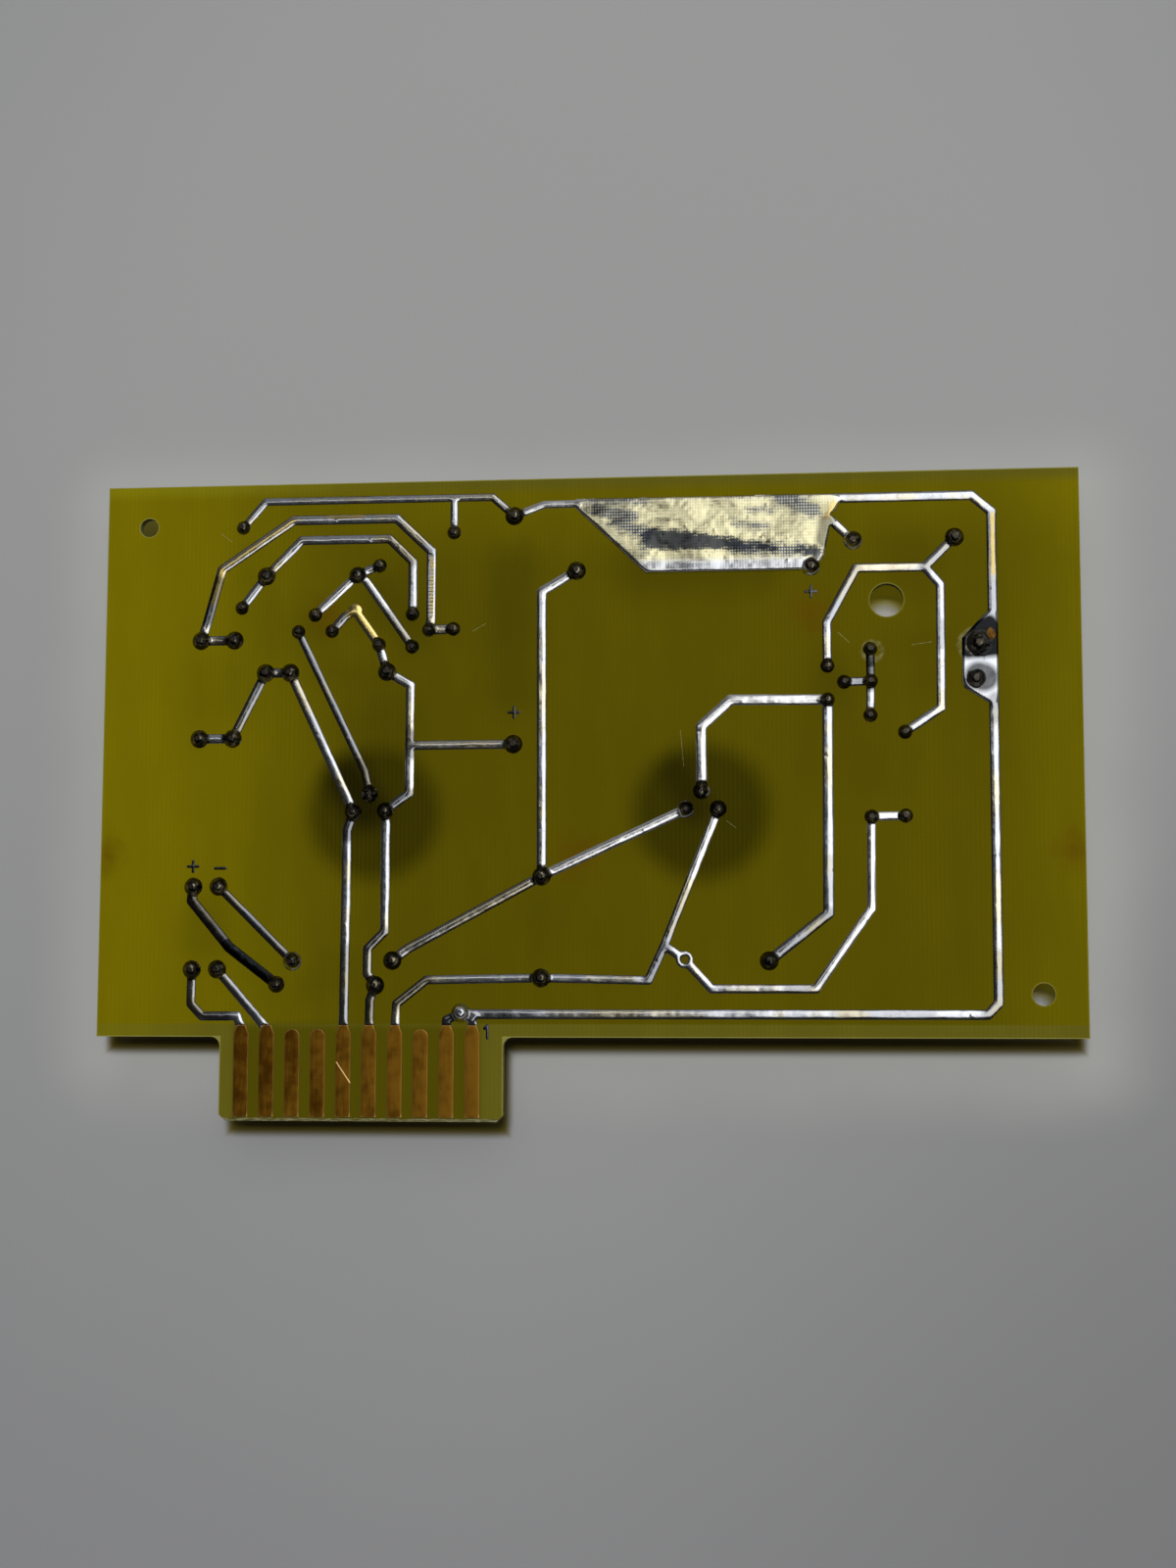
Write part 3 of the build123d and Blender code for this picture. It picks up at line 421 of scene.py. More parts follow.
def laminate_finish():
    """Translucent glass-epoxy: light comes up through it, except where a part hangs behind it."""
    look = Look("laminate", Specular_IOR_Level=0.16, Specular_Tint=(1.0, 0.85, 0.05, 1.0))
    x, y, _ = look.parts(look.place)
    from_left, from_right, from_root, from_top, inside = look.insets(x, y)
    glow = look.plus(look.fade(from_right, 0.0, 17 * MM, 0.42), look.fade(from_top, 0.0, 15 * MM, 0.42))
    glow = look.most(glow, look.fade(from_left, 0.0, 48 * MM))
    glow = look.scaled(look.noise(45, 3.0), 0.24, look.minus(glow, 0.12), clamp=True)
    # Painted shade of the parts behind the sheet.
    parts, shaded = painted_part_shades(look)

    root = look.scaled(look.noise(2500, 2.0), 0.25 * MM, from_root)
    # Painted light where the sheet is lit from its left and far edges.
    bare = look.layers(LAMINATE_BARE, (look.fade(from_left, 0.0, 24 * MM), LAMINATE_LIT_BARE_LEFT))
    lit_head = look.layers(LAMINATE_LIT_HEAD, (look.fade(from_left, 0.0, 60 * MM), LAMINATE_LIT_HEAD_LEFT))
    # Painted shade on the tab between the contacts.
    inward = look.least(look.minus(x, CONTACTS_LOW.x), look.minus(CONTACTS_HIGH.x, x))
    between = look.times(look.ramp(inward, -0.9 * MM, 0.9 * MM), look.fade(from_root, 0.8 * MM, 3.0 * MM, 0.9))
    covers = [(look.fade(root, 2.0 * MM, 2.25 * MM), bare), (look.fade(from_top, 0.5 * MM, 2.6 * MM, 0.75), lit_head),
              (between, LAMINATE_SHADE_BETWEEN_CONTACTS), (look.fade(inside, 0.10 * MM, 0.20 * MM, 0.8), LAMINATE_RIM_HIGHLIGHT)]
    # Painted highlights round the holes and along the tab's ragged end.
    for place, radius in BOARD_HOLES:
        reach = look.minus(look.distance_to(at(*place)), radius * MM)
        covers.append((look.fade(reach, 0.08 * MM, 0.24 * MM, 0.45), LAMINATE_RIM_HIGHLIGHT))
    fibres = look.noise(2200, 4.0, 0.7, stretch=(0.35, 0.35, 2.5))
    end_strip = look.scaled(fibres, 0.35 * MM, look.minus(y, BOARD_LOW.y))
    covers.append((look.fade(end_strip, 0.40 * MM, 0.50 * MM, 0.85), LAMINATE_RIM_HIGHLIGHT))
    colour = look.layers(LAMINATE_MIDDLE, (glow, LAMINATE_EDGE), *parts, *wear(look), *covers)

    patchy = look.noise(160, 4.0, 0.6, stretch=(1.0, 0.25, 1.0))
    clear = look.scaled(shaded, 0.26, look.ramp(patchy, 0.40, 0.62, 0.02, 0.085))
    weave = look.plus(look.times(look.wave(0.67 * MM, "X", 0.6), clear),
                      look.times(look.wave(0.55 * MM, "Y"), 0.025))
    tone = look.scaled(patchy, 0.18, look.plus(weave, 0.870))
    sawn = look.layers(LAMINATE_BARE, (look.ramp(fibres, 0.35, 0.7), LAMINATE_SAWN))
    is_sawn = look.fade(look.math("ABSOLUTE", look.upward()), 0.75, 0.95)
    colour = look.layers(look.vector("MULTIPLY", colour, tone), (is_sawn, sawn))
    height = look.plus(weave, look.times(look.noise(3000, 2.0), 0.03))
    return look.done(colour, look.ramp(is_sawn, 0.0, 1.0, 0.55, 0.85), height, 0.05, 0.4)


SOLDER = solder_finish()
COPPER = copper_finish()
BURNT_FLUX = plain_finish("burnt_flux", (0.002, 0.002, 0.002), (0.012, 0.011, 0.009), 0.20, 0.03,
                          Specular_IOR_Level=0.2)
AMBER_FLUX = plain_finish("amber_flux", (0.020, 0.008, 0.001), (0.26, 0.115, 0.006), 0.20, 0.05)
WIRE = wire_finish()
LAMINATE = laminate_finish()
EPOXY = plain_finish("black_epoxy", (0.012, 0.012, 0.013), (0.024, 0.024, 0.025), 0.42)
RESISTOR_BODY = plain_finish("resistor_body", (0.13, 0.062, 0.032), (0.20, 0.10, 0.052), 0.40)
SEAL_RUBBER = plain_finish("rubber_seal", (0.012, 0.012, 0.012), (0.03, 0.03, 0.03), 0.7)
SLEEVE = plain_finish("capacitor_sleeve", (0.02, 0.075, 0.20), (0.03, 0.10, 0.25), 0.30, 0.006)
SLEEVE_BAND = plain_finish("sleeve_band", (0.015, 0.015, 0.017), (0.03, 0.03, 0.033), 0.34, 0.006)
ALUMINIUM = plain_finish("capacitor_metal", (0.55, 0.56, 0.57), (0.74, 0.75, 0.76), 0.32, 0.01, DRAWN,
                         Metallic=1.0)
NICKEL = plain_finish("nickel_can", (0.40, 0.385, 0.36), (0.60, 0.585, 0.55), 0.28, 0.01, DRAWN, Metallic=1.0)
ANODISED = plain_finish("black_anodised", (0.012, 0.012, 0.014), (0.03, 0.03, 0.032), 0.42, 0.01, BLACKENED,
                        Metallic=0.55)


# ------------ mesh helpers
def make_object(name, mesh, materials, replaced=()):
    """A piece of the object, with its materials and the CAD nodes that it replaces."""
    piece = bpy.data.objects.new(name, mesh)
    bpy.context.scene.collection.objects.link(piece)
    for material in materials:
        mesh.materials.append(material)
    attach(piece, "root")
    if replaced:
        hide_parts(*replaced)
    return piece


def mesh_from_faces(name, points, quads):
    """A mesh from points in metres and four-cornered faces."""
    mesh = bpy.data.meshes.new(name)
    mesh.from_pydata(points, [], quads)
    return mesh


def welded(node):
    """A bmesh copy of a CAD node's mesh, with the corners that its faces share joined."""
    shape = bmesh.new()
    shape.from_mesh(NODES[node].data)
    bmesh.ops.remove_doubles(shape, verts=shape.verts, dist=0.002 * MM)
    return shape


def as_mesh(shape, name):
    """A mesh of what a bmesh holds, which is freed."""
    mesh = bpy.data.meshes.new(name)
    shape.to_mesh(mesh)
    shape.free()
    return mesh


def islands(node):
    """The corner points of each separate solid of a CAD node, as arrays in metres."""
    shape = welded(node)
    seen = set()
    found = []
    for first in shape.verts:
        if first in seen:
            continue
        group = [first]
        seen.add(first)
        for vert in group:
            for edge in vert.link_edges:
                other = edge.other_vert(vert)
                if other not in seen:
                    seen.add(other)
                    group.append(other)
        found.append(np.array([vert.co for vert in group]))
    shape.free()
    return found


def lattice_noise(x, y, cell, seed):
    """Smooth noise from -1 to 1 over millimetre coordinates, with features about one cell wide."""
    table = np.random.default_rng(seed).uniform(-1, 1, (256, 256))
    ix, iy = np.floor(x / cell).astype(int), np.floor(y / cell).astype(int)
    fx, fy = x / cell - ix, y / cell - iy
    fx, fy = fx * fx * (3 - 2 * fx), fy * fy * (3 - 2 * fy)

    def row(dy):
        first, second = (table[(iy + dy) % 256, (ix + dx) % 256] for dx in (0, 1))
        return first * (1 - fx) + second * fx

    return row(0) * (1 - fy) + row(1) * fy


# ------------ solder coat and joints
CELL = 0.15                    # spacing of the surface's points, mm
FINE_CELL = 0.09               # and on the small signs
# How high the foil's own edge stands in mm, how strongly the coat on it swells per mm, the width in mm over which
# wide areas level out, and the width in mm of its border, where the solder gets painted shade and the copper a
# painted highlight.
MOLTEN = (0.05, 1.70, 0.40, 0.34)
MARKED = (0.05, 1.70, 0.40, 0.85)
PLATED = (0.11, 1.10, 0.22, 0.34)
SETTLING = 260                 # rounds in which the coat finds its level
FOIL_BOTTOM = 70.8             # y of the wide foil area's lower edge, mm
BLEND = 0.12                   # radius of the fillet between a joint and its track, mm
SUNK = 0.02                    # the coat's underside lies this far inside the laminate, mm
CRUST_HEIGHT = 0.62            # of the burnt and the amber flux, mm
CRUST_SKIRT = -0.17            # height of its lowest ring, which lies in the coat
DOME = 1.9                     # how steep a joint's flanks are: 1 is a cone, 2 a rounded dome
HOLE_MARGIN = 0.06             # an outline's edges this close to a lead's hole belong to the hole, mm
SAME_JOINT = 0.4               # a joint this close to a listed place is the one that is meant, mm
LUMPS_PER_AREA = 0.10          # drips and pits on each square millimetre of coat
RIBBED_RUN = (51.5, 64.5, 74.3)         # x, and y from and to, of a track with cooling ribs
RIB_PITCH = 0.55
# Joints that differ: a bright ring round a small bell, bright with no flux, dull, or drawn out in points.
JOINT_STYLES = {"ringed": [(90.75, 34.4), (116.3, 75.3), (109.9, 71.4), (30.5, 11.5)],
                "bright": [(56.6, 3.7)], "dull": [(134.5, 53.8)], "spiky": [(93.2, 37.2), (42.2, 37.1)]}
# How far the flux reaches, as a share of the joint's base, and how softly it ends.
FLUX_REACH = {"plain": (1.36, 0.20), "ringed": (0.92, 0.14), "bright": (0.0, 1.0), "dull": (1.30, 1.3),
              "spiky": (1.30, 0.20)}


Joint = namedtuple("Joint", "x y base height lead")


def joints():
    """Place, base radius, height and lead radius of each joint, in millimetres over the board's top."""
    found = []
    for points in islands("solder_joints"):
        low, high = points.min(0), points.max(0)
        centre = (low[:2] + high[:2]) / 2
        off = np.linalg.norm(points[:, :2] - centre, axis=1)
        found.append(Joint(*centre / MM, (high[0] - low[0]) / 2 / MM, (high[2] - TOP) / MM, off.min() / MM))
    return sorted(found, key=lambda joint: (round(joint.x, 2), round(joint.y, 2)))


JOINTS = joints()


def outline_segments(node):
    """The edges round the top face of a track, in millimetres, without the holes its leads make."""
    shape = welded(node)
    highest = max(vert.co.z for vert in shape.verts)

    def on_top(face):
        return all(highest - vert.co.z < 0.01 * MM for vert in face.verts)

    ends = np.array([[vert.co.xy / MM for vert in edge.verts] for edge in shape.edges
                     if sum(on_top(face) for face in edge.link_faces) == 1])
    shape.free()
    middle = ends.mean(1)
    keep = np.ones(len(ends), bool)
    for joint in JOINTS:
        keep &= np.hypot(middle[:, 0] - joint.x, middle[:, 1] - joint.y) > joint.lead + HOLE_MARGIN
    return ends[keep]


def off_line(x, y, start, end):
    """How far each point is from a line, and at what share of the line's length it is nearest."""
    (ax, ay), (bx, by) = start, end
    length2 = max((bx - ax) ** 2 + (by - ay) ** 2, 1e-12)
    share = np.clip(((x - ax) * (bx - ax) + (y - ay) * (by - ay)) / length2, 0, 1)
    return np.hypot(x - ax - share * (bx - ax), y - ay - share * (by - ay)), share


def signed_field(segments, xs, ys, cell):
    """Distance to the outline at each grid point, near it: positive inside, negative outside."""
    crossings = np.zeros((len(ys), len(xs) + 1), np.int32)
    reach = 3 * cell
    distance = np.full((len(ys), len(xs)), reach)
    for (ax, ay), (bx, by) in segments:
        low, high = min(ay, by), max(ay, by)
        rows = np.nonzero((ys >= low) & (ys < high))[0]
        if len(rows):
            cut = ax + (ys[rows] - ay) * (bx - ax) / (by - ay)
            np.add.at(crossings, (rows, np.searchsorted(xs, cut)), 1)
        left, right = np.searchsorted(xs, [min(ax, bx) - reach, max(ax, bx) + reach])
        bottom, top = np.searchsorted(ys, [low - reach, high + reach])
        gap, _ = off_line(*np.meshgrid(xs[left:right], ys[bottom:top]), (ax, ay), (bx, by))
        window = distance[bottom:top, left:right]
        np.minimum(window, gap, out=window)
    inside = np.cumsum(crossings, axis=1)[:, :-1] % 2 == 1
    return np.where(inside, distance, -distance)


def coat_height(field, cell, swelling, levelling):
    """Height of a molten coat that is pinned to the outline and levels out in wide areas."""
    inside = field > 0
    number = np.full(field.shape, -1)
    number[inside] = np.arange(inside.sum())
    row, column = np.nonzero(inside)
    own = field[inside]
    neighbours, arms = [], []
    for dr, dc in ((0, 1), (0, -1), (1, 0), (-1, 0)):
        other = number[row + dr, column + dc]
        outside = field[row + dr, column + dc]
        arm = np.where(other >= 0, 1.0, np.clip(own / np.maximum(own - outside, 1e-6), 0.2, 1.0))
        neighbours.append(other)
        arms.append(arm * cell)
    spans = [arms[0] + arms[1]] * 2 + [arms[2] + arms[3]] * 2
    weights = [2 / (span * arm) for span, arm in zip(spans, arms)]
    total = sum(weights) + 1 / levelling ** 2
    height = np.zeros(len(own) + 1)
    for _ in range(SETTLING):
        flow = sum(weight * height[other] for weight, other in zip(weights, neighbours))
        height[:-1] = (flow + swelling) / total
    result = np.zeros(field.shape)
    result[inside] = height[:-1]
    return result


def spread(values, cells):
    """The values grown outward by some cells in each direction, softly."""
    for _ in range(cells):
        moved = [np.roll(values, shift, axis) * 0.97 for axis in (0, 1) for shift in (1, -1)]
        values = np.maximum.reduce([values, *moved])
    return values


def around(row, column, reach):
    """The part of a grid within a number of cells of one place."""
    return slice(max(row - reach, 0), row + reach), slice(max(column - reach, 0), column + reach)


def uneven(film, wide, field, x, y, cell):
    """The coat with slow waves, small drips and pits, and the ribs of one run."""
    film = film * (1 + 0.18 * lattice_noise(x, y, 2.4, 11) + 0.05 * lattice_noise(x, y, 0.7, 12))
    film = film + wide * (0.09 * lattice_noise(x + 0.4 * y, y, 4.6, 13) + 0.008 * lattice_noise(x, y, 1.3, 14))
    from_bottom = y - at(0, FOIL_BOTTOM).y / MM
    film = film + wide * 0.13 * np.exp(-((from_bottom - 0.25) / 0.85) ** 2)
    rows, columns = np.nonzero(field > 2 * cell)
    rng = np.random.default_rng(len(rows))
    for pick in rng.integers(0, max(len(rows), 1), int(len(rows) * cell ** 2 * LUMPS_PER_AREA)):
        row, column = rows[pick], columns[pick]
        window = around(row, column, int(0.6 / cell))
        off = np.hypot(x[window] - x[row, column], y[window] - y[row, column])
        film[window] += rng.uniform(-0.045, 0.06) * np.exp(-(off / rng.uniform(0.15, 0.28)) ** 2)
    run_x, low = (value / MM for value in at(*RIBBED_RUN[:2]).xy)
    high = at(0, RIBBED_RUN[2]).y / MM
    on_run = (np.abs(x - run_x) < 0.9) & (y > low) & (y < high)
    return np.where(on_run, np.minimum(film, 0.13) + 0.012 * np.sin(2 * math.pi * y / RIB_PITCH), film)


def style_of(joint):
    """Which kind of joint it is, by its place."""
    for style, spots in JOINT_STYLES.items():
        if any((at(*spot).xy / MM - Vector((joint.x, joint.y))).length < SAME_JOINT for spot in spots):
            return style
    return "plain"


def joint_relief(joint, x, y, number):
    """A joint's height over the pad, a dome with steep flanks a little out of round, and its share of flux."""
    dx, dy = x - joint.x, y - joint.y
    angle = np.arctan2(dy, dx)
    rng = np.random.default_rng(400 + number)
    style = style_of(joint)
    lobed, sway, lumpy = ((1, 2, 4, 5), 0.17, 0.16) if style == "spiky" else ((1, 2, 3, 5), 0.05, 0.05)
    swell = 1.0
    for lobes in lobed:
        swell = swell + rng.uniform(-sway, sway) * np.cos(lobes * angle + rng.uniform(0, 2 * math.pi))
    share = np.clip((np.hypot(dx, dy) / swell - joint.lead) / (joint.base - joint.lead), 0, 2)
    lumps = lumpy * lattice_noise(x, y, 0.45, 900 + number)
    dark = share
    if style == "ringed":
        share = share * 1.12
        dark = np.hypot(dx - 0.2, dy - 0.2) / joint.base
    reach, soft = FLUX_REACH[style]
    return joint.height * (1 - share ** DOME) + lumps, np.clip((reach - dark) / soft, 0, 1)


def beyond(lines, x, y):
    """How far each point is beyond the reach of the nearest line, in mm; a second reach is the line's far end."""
    nearest = np.full(x.shape, 99.0)
    for x1, y1, x2, y2, *reaches in lines:
        off, share = off_line(x, y, *(np.array(at(*spot).xy) / MM for spot in ((x1, y1), (x2, y2))))
        nearest = np.minimum(nearest, off - np.interp(share, (0, 1), (reaches[0], reaches[-1])))
    return nearest


def wear_and_painted_light(x, y):
    """The marks of age on the coat of solder at each point, and where its painted reflections and highlights lie.
    """
    dull = np.zeros(x.shape)
    for *line, depth in DULLED:
        dull = np.maximum(dull, depth * np.clip(1 - beyond([line], x, y) / 0.9, 0, 1))
    return {"golden": beyond(GOLDEN_REFLECTIONS, x, y), "grey": beyond(GREY_FOIL, x, y), "tarnish_and_dark_reflection": beyond(DARK_REFLECTION_BANDS, x, y),
            "highlighted": beyond(HIGHLIGHTED_RUNS, x, y), "dull": dull}


def rim_edges(faces):
    """The directed edges that only one face uses."""
    edges = np.concatenate([faces[:, [k, (k + 1) % 4]] for k in range(4)])
    _, first, times = np.unique(np.sort(edges, 1), axis=0, return_index=True, return_counts=True)
    return edges[first[times == 1]]


def add_joints(node, field, relief, px, py, cell):
    """Raises the joints on the coat; returns the flux on it and the nodes that it replaces."""
    flux = np.zeros(field.shape)
    replaced = [node]
    for number, joint in enumerate(JOINTS):
        column, row = np.searchsorted(px[0], joint.x), np.searchsorted(py[:, 0], joint.y)
        if not (0 < column < px.shape[1] and 0 < row < px.shape[0] and field[row, column] > 0):
            continue
        window = around(row, column, int(joint.base * 1.8 / cell))
        bead, near = joint_relief(joint, px[window], py[window], number)
        both = np.logaddexp(relief[window] / BLEND, bead / BLEND) * BLEND
        pinned = np.clip(field[window] / (1.5 * cell), 0, 1)
        relief[window] = relief[window] + (both - relief[window]) * pinned
        flux[window] = np.maximum(flux[window], near)
        replaced = [node, "solder_joints"]
    return flux, replaced


def coat(name, node, cell, form, material):
    """The coat on a node's foil, with any joints on it, as a closed mesh that replaces the CAD solids."""
    edge, swelling, levelling, border_width = form
    segments = outline_segments(node)
    low, high = segments.min((0, 1)) - 4 * cell, segments.max((0, 1)) + 4 * cell
    xs, ys = np.arange(low[0], high[0], cell), np.arange(low[1], high[1], cell)
    field = signed_field(segments, xs, ys, cell)
    px, py = np.meshgrid(xs, ys)
    film = coat_height(field, cell, swelling, levelling)
    level = swelling * levelling ** 2
    broad = spread(np.clip((film / level - 0.8) / 0.15, 0, 1), int(0.9 / cell))
    if form is not PLATED:
        film = uneven(np.minimum(film * (1 + 1.2 * broad), np.maximum(film, level)), broad, field, px, py, cell)
    relief = film + edge
    flux, replaced = add_joints(node, field, relief, px, py, cell)

    # The faces are the grid's cells that touch the foil; their outer points are drawn in to its outline.
    inside = field > 0
    near, far = slice(None, -1), slice(1, None)
    corners = [(near, near), (near, far), (far, far), (far, near)]
    cells = np.logical_or.reduce([inside[corner] for corner in corners])
    used = np.zeros(field.shape, bool)
    for corner in corners:
        used[corner] |= cells
    slope_y, slope_x = np.gradient(field, cell)
    outside = used & ~inside
    step = np.where(outside, -field / np.maximum(np.hypot(slope_x, slope_y), 0.3) ** 2, 0)
    x, y = px + step * slope_x, py + step * slope_y
    z = np.where(outside, edge, relief)
    number = np.full(field.shape, -1)
    number[used] = np.arange(used.sum())
    faces = np.stack([number[corner][cells] for corner in corners], 1)
    upper = np.stack([x[used] * MM, y[used] * MM, TOP + z[used] * MM], 1)
    lower = upper.copy()
    lower[:, 2] = TOP - SUNK * MM
    count = len(upper)
    rims = rim_edges(faces)
    walls = np.stack([rims[:, 1], rims[:, 0], rims[:, 0] + count, rims[:, 1] + count], 1)
    quads = np.concatenate([faces, faces[:, ::-1] + count, walls])
    mesh = mesh_from_faces(name, np.concatenate([upper, lower]), quads)

    # How near the outline a point is, for the painted dark border on solder and the painted highlight on copper.
    border = np.clip(1 - field / border_width, 0, 1) * (1 - 0.8 * broad)
    marks = {"flux": flux[used], "broad": broad[used], "border": border[used]}
    if form is not PLATED:
        marks.update(wear_and_painted_light(x[used], y[used]))
    if form is MARKED:
        marks["dull"] += 0.65
    for label, values in marks.items():
        mark = mesh.attributes.new(label, "FLOAT", "POINT")
        mark.data.foreach_set("value", np.concatenate([values, values]).astype(np.float32))
    mesh.polygons.foreach_set("use_smooth", np.arange(len(quads)) < len(faces))
    mesh.validate()
    make_object(name, mesh, [material], replaced)


for track in TRACKS:
    coat("solder_" + track, track, CELL, MOLTEN, SOLDER)
coat("solder_polarity_marks", "polarity_marks", FINE_CELL, MARKED, SOLDER)
coat("worn_contacts", "edge_contacts", FINE_CELL, PLATED, COPPER)


def crust(name, place, reach_x, reach_y, material, seed, rings=6, spokes=17, ragged=0.10):
    """A hard ragged crust of flux with flat facets, over the joint at a place in millimetres."""
    rng = np.random.default_rng(seed)
    centre = at(*place, 0.15)
    points = [centre + Vector((0, 0, CRUST_HEIGHT * MM))]
    for ring in range(1, rings + 1):
        share = ring / rings
        for spoke in range(spokes):
            turn = 2 * math.pi * (spoke + 0.5 * (ring % 2)) / spokes
            out = share * (1 + (ragged if ring == rings else 0.07) * rng.uniform(-1, 1))
            up = CRUST_SKIRT
            if ring < rings:
                up = CRUST_HEIGHT * (1 - share ** 2.4) * (1 + 0.22 * rng.uniform(-1, 1))
            along, across = reach_x * out * math.cos(turn), reach_y * out * math.sin(turn)
            points.append(centre + Vector((along, across, up)) * MM)
    shape = bmesh.new()
    verts = [shape.verts.new(point) for point in points]
    for spoke in range(spokes):
        following = (spoke + 1) % spokes
        shape.faces.new((verts[0], verts[1 + spoke], verts[1 + following]))
        for inner in range(1, 1 + (rings - 1) * spokes, spokes):
            outer = inner + spokes
            shape.faces.new((verts[inner + spoke], verts[outer + spoke], verts[outer + following],
                             verts[inner + following]))
    shape.faces.new(verts[:-spokes - 1:-1])
    bmesh.ops.triangulate(shape, faces=shape.faces)
    make_object(name, as_mesh(shape, name), [material])


crust("burnt_flux", (135.15, 59.2), 2.45, 2.5, BURNT_FLUX, 5)
crust("amber_flux", (136.85, 60.45), 0.85, 1.2, AMBER_FLUX, 8, rings=4, spokes=11, ragged=0.30)

# ------------ turned parts under the board
BAND_COLOURS = {"black": (0.015, 0.015, 0.015), "brown": (0.10, 0.035, 0.015), "red": (0.42, 0.02, 0.015),
                "orange": (0.65, 0.16, 0.02), "yellow": (0.70, 0.50, 0.03), "green": (0.03, 0.20, 0.05),
                "blue": (0.02, 0.06, 0.30), "violet": (0.16, 0.05, 0.25), "gold": (0.45, 0.30, 0.08)}
BANDS = {name: plain_finish("band_" + name, tuple(0.85 * c for c in colour), colour, 0.36, 0.008)
         for name, colour in BAND_COLOURS.items()}
BAND_CODES = ["brown black red gold", "yellow violet brown gold", "red red red gold",
              "orange orange brown gold", "green blue brown gold", "brown green black gold"]
TURN_STEPS = 48


def lead_lines():
    """Each resistor's direction, from the two lead solids nearest to its ends."""
    wires = islands("resistor_leads")
    lines = {}
    for name in RESISTORS:
        low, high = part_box(name)
        middle = (low + high) / 2
        near = sorted(wires, key=lambda wire: (Vector(wire.mean(0)) - middle).length)[:2]
        first, second = (Vector((wire.min(0) + wire.max(0)) / 2) * FLAT for wire in near)
        long_way = 0 if high.x - low.x > high.y - low.y else 1
        along = second - first
        lines[name] = (along if along[long_way] >= 0 else -along).normalized()
    return lines


RESISTOR_LINES = lead_lines()


def turned(name, profile, node, materials):
    """A body of revolution along a node's long side; each profile point is (along, radius, material)."""
    low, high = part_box(node)
    middle = (low + high) / 2
    size = high - low
    direction = RESISTOR_LINES.get(node, Vector((1, 0, 0)) if size.x > size.y else Vector((0, 1, 0)))
    side = Vector((-direction.y, direction.x, 0))
    points, quads, surfaces = [], [], []
    for ring, (along, radius, surface) in enumerate(profile):
        start = ring * TURN_STEPS
        for step in range(TURN_STEPS):
            turn = 2 * math.pi * step / TURN_STEPS
            points.append(middle + direction * along + side * (radius * math.cos(turn))
                          + Vector((0, 0, radius * math.sin(turn))))
            if ring < len(profile) - 1:
                following = start + (step + 1) % TURN_STEPS
                quads.append((start + step, following, following + TURN_STEPS, start + step + TURN_STEPS))
                surfaces.append(surface)
    mesh = mesh_from_faces(name, points, quads)
    mesh.polygons.foreach_set("material_index", surfaces)
    shape = bmesh.new()
    shape.from_mesh(mesh)
    bmesh.ops.remove_doubles(shape, verts=shape.verts, dist=0.001 * MM)
    bmesh.ops.recalc_face_normals(shape, faces=shape.faces)
    for face in shape.faces:
        face.smooth = True
    for edge in shape.edges:
        if len(edge.link_faces) == 2 and edge.calc_face_angle() > SHARP_EDGE:
            edge.smooth = False
    shape.to_mesh(mesh)
    shape.free()
    make_object(name, mesh, materials, [node])


def barrel(node):
    """The radius of a lying round part, and half of its longer side seen from above."""
    low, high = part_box(node)
    return (high.z - low.z) / 2, max(high.x - low.x, high.y - low.y) / 2


def quarter(edge, steps):
    """How far a rounded edge stays off the end and off the barrel, from the end to the barrel."""
    turns = [math.pi / 2 * step / steps for step in range(steps + 1)]
    return [(edge * (1 - math.cos(turn)), edge * (1 - math.sin(turn))) for turn in turns]


def resistor(name, code):
    """A body with rounded ends and four colour bands."""
    radius, reach = barrel(name)
    across = min(abs(RESISTOR_LINES[name].x), abs(RESISTOR_LINES[name].y))
    half = (reach - radius * across) / math.sqrt(1 - across ** 2)
    ends = quarter(0.22 * radius, 5)
    profile = [(-half, 0.0, 0)] + [(-half + inset, radius - drop, 0) for inset, drop in ends]
    for index in range(4):
        start = half * (-0.66 + 0.34 * (index + (0.35 if index == 3 else 0)))
        profile += [(start, radius, index + 1), (start + 0.17 * half, radius, 0)]
    profile += [(half - inset, radius - drop, 0) for inset, drop in reversed(ends)] + [(half, 0.0, 0)]
    turned(name.replace("resistor", "banded_resistor"), profile, name,
           [RESISTOR_BODY] + [BANDS[colour] for colour in code.split()])


def capacitor(number):
    """A can with a rolled groove and lip; a sleeve covers it, with a dark band at the minus end."""
    node = f"capacitor_{number}_can"
    radius, half = (size / MM for size in barrel(node))
    metal, sleeve, band = 0, 1, 2
    profile = [(-half, 0.0, metal), (-half, radius - 1.0, sleeve)]
    profile += [(-half + inset, radius - drop, sleeve) for inset, drop in quarter(0.6, 6)[1:]]
    profile += [(-half + 3.0, radius, band), (-half + 4.6, radius, sleeve)]
    for step in range(-6, 7):
        depth = 0.25 * (1 + math.cos(math.pi * step / 6))
        profile.append((half - 3.0 + 0.8 * step / 6, radius - depth, sleeve))
    for step, (inset, drop) in enumerate(reversed(quarter(0.5, 5))):
        profile.append((half - inset, radius - drop, sleeve if step < 4 else metal))
    profile += [(half, radius - 0.75, metal), (half - 0.6, radius - 0.78, metal),
                (half - 1.6, radius - 0.78, metal), (half - 1.6, 0.0, metal)]
    turned(f"sleeved_capacitor_{number}", [(along * MM, out * MM, surface) for along, out, surface in profile],
           node, [ALUMINIUM, SLEEVE, SLEEVE_BAND])


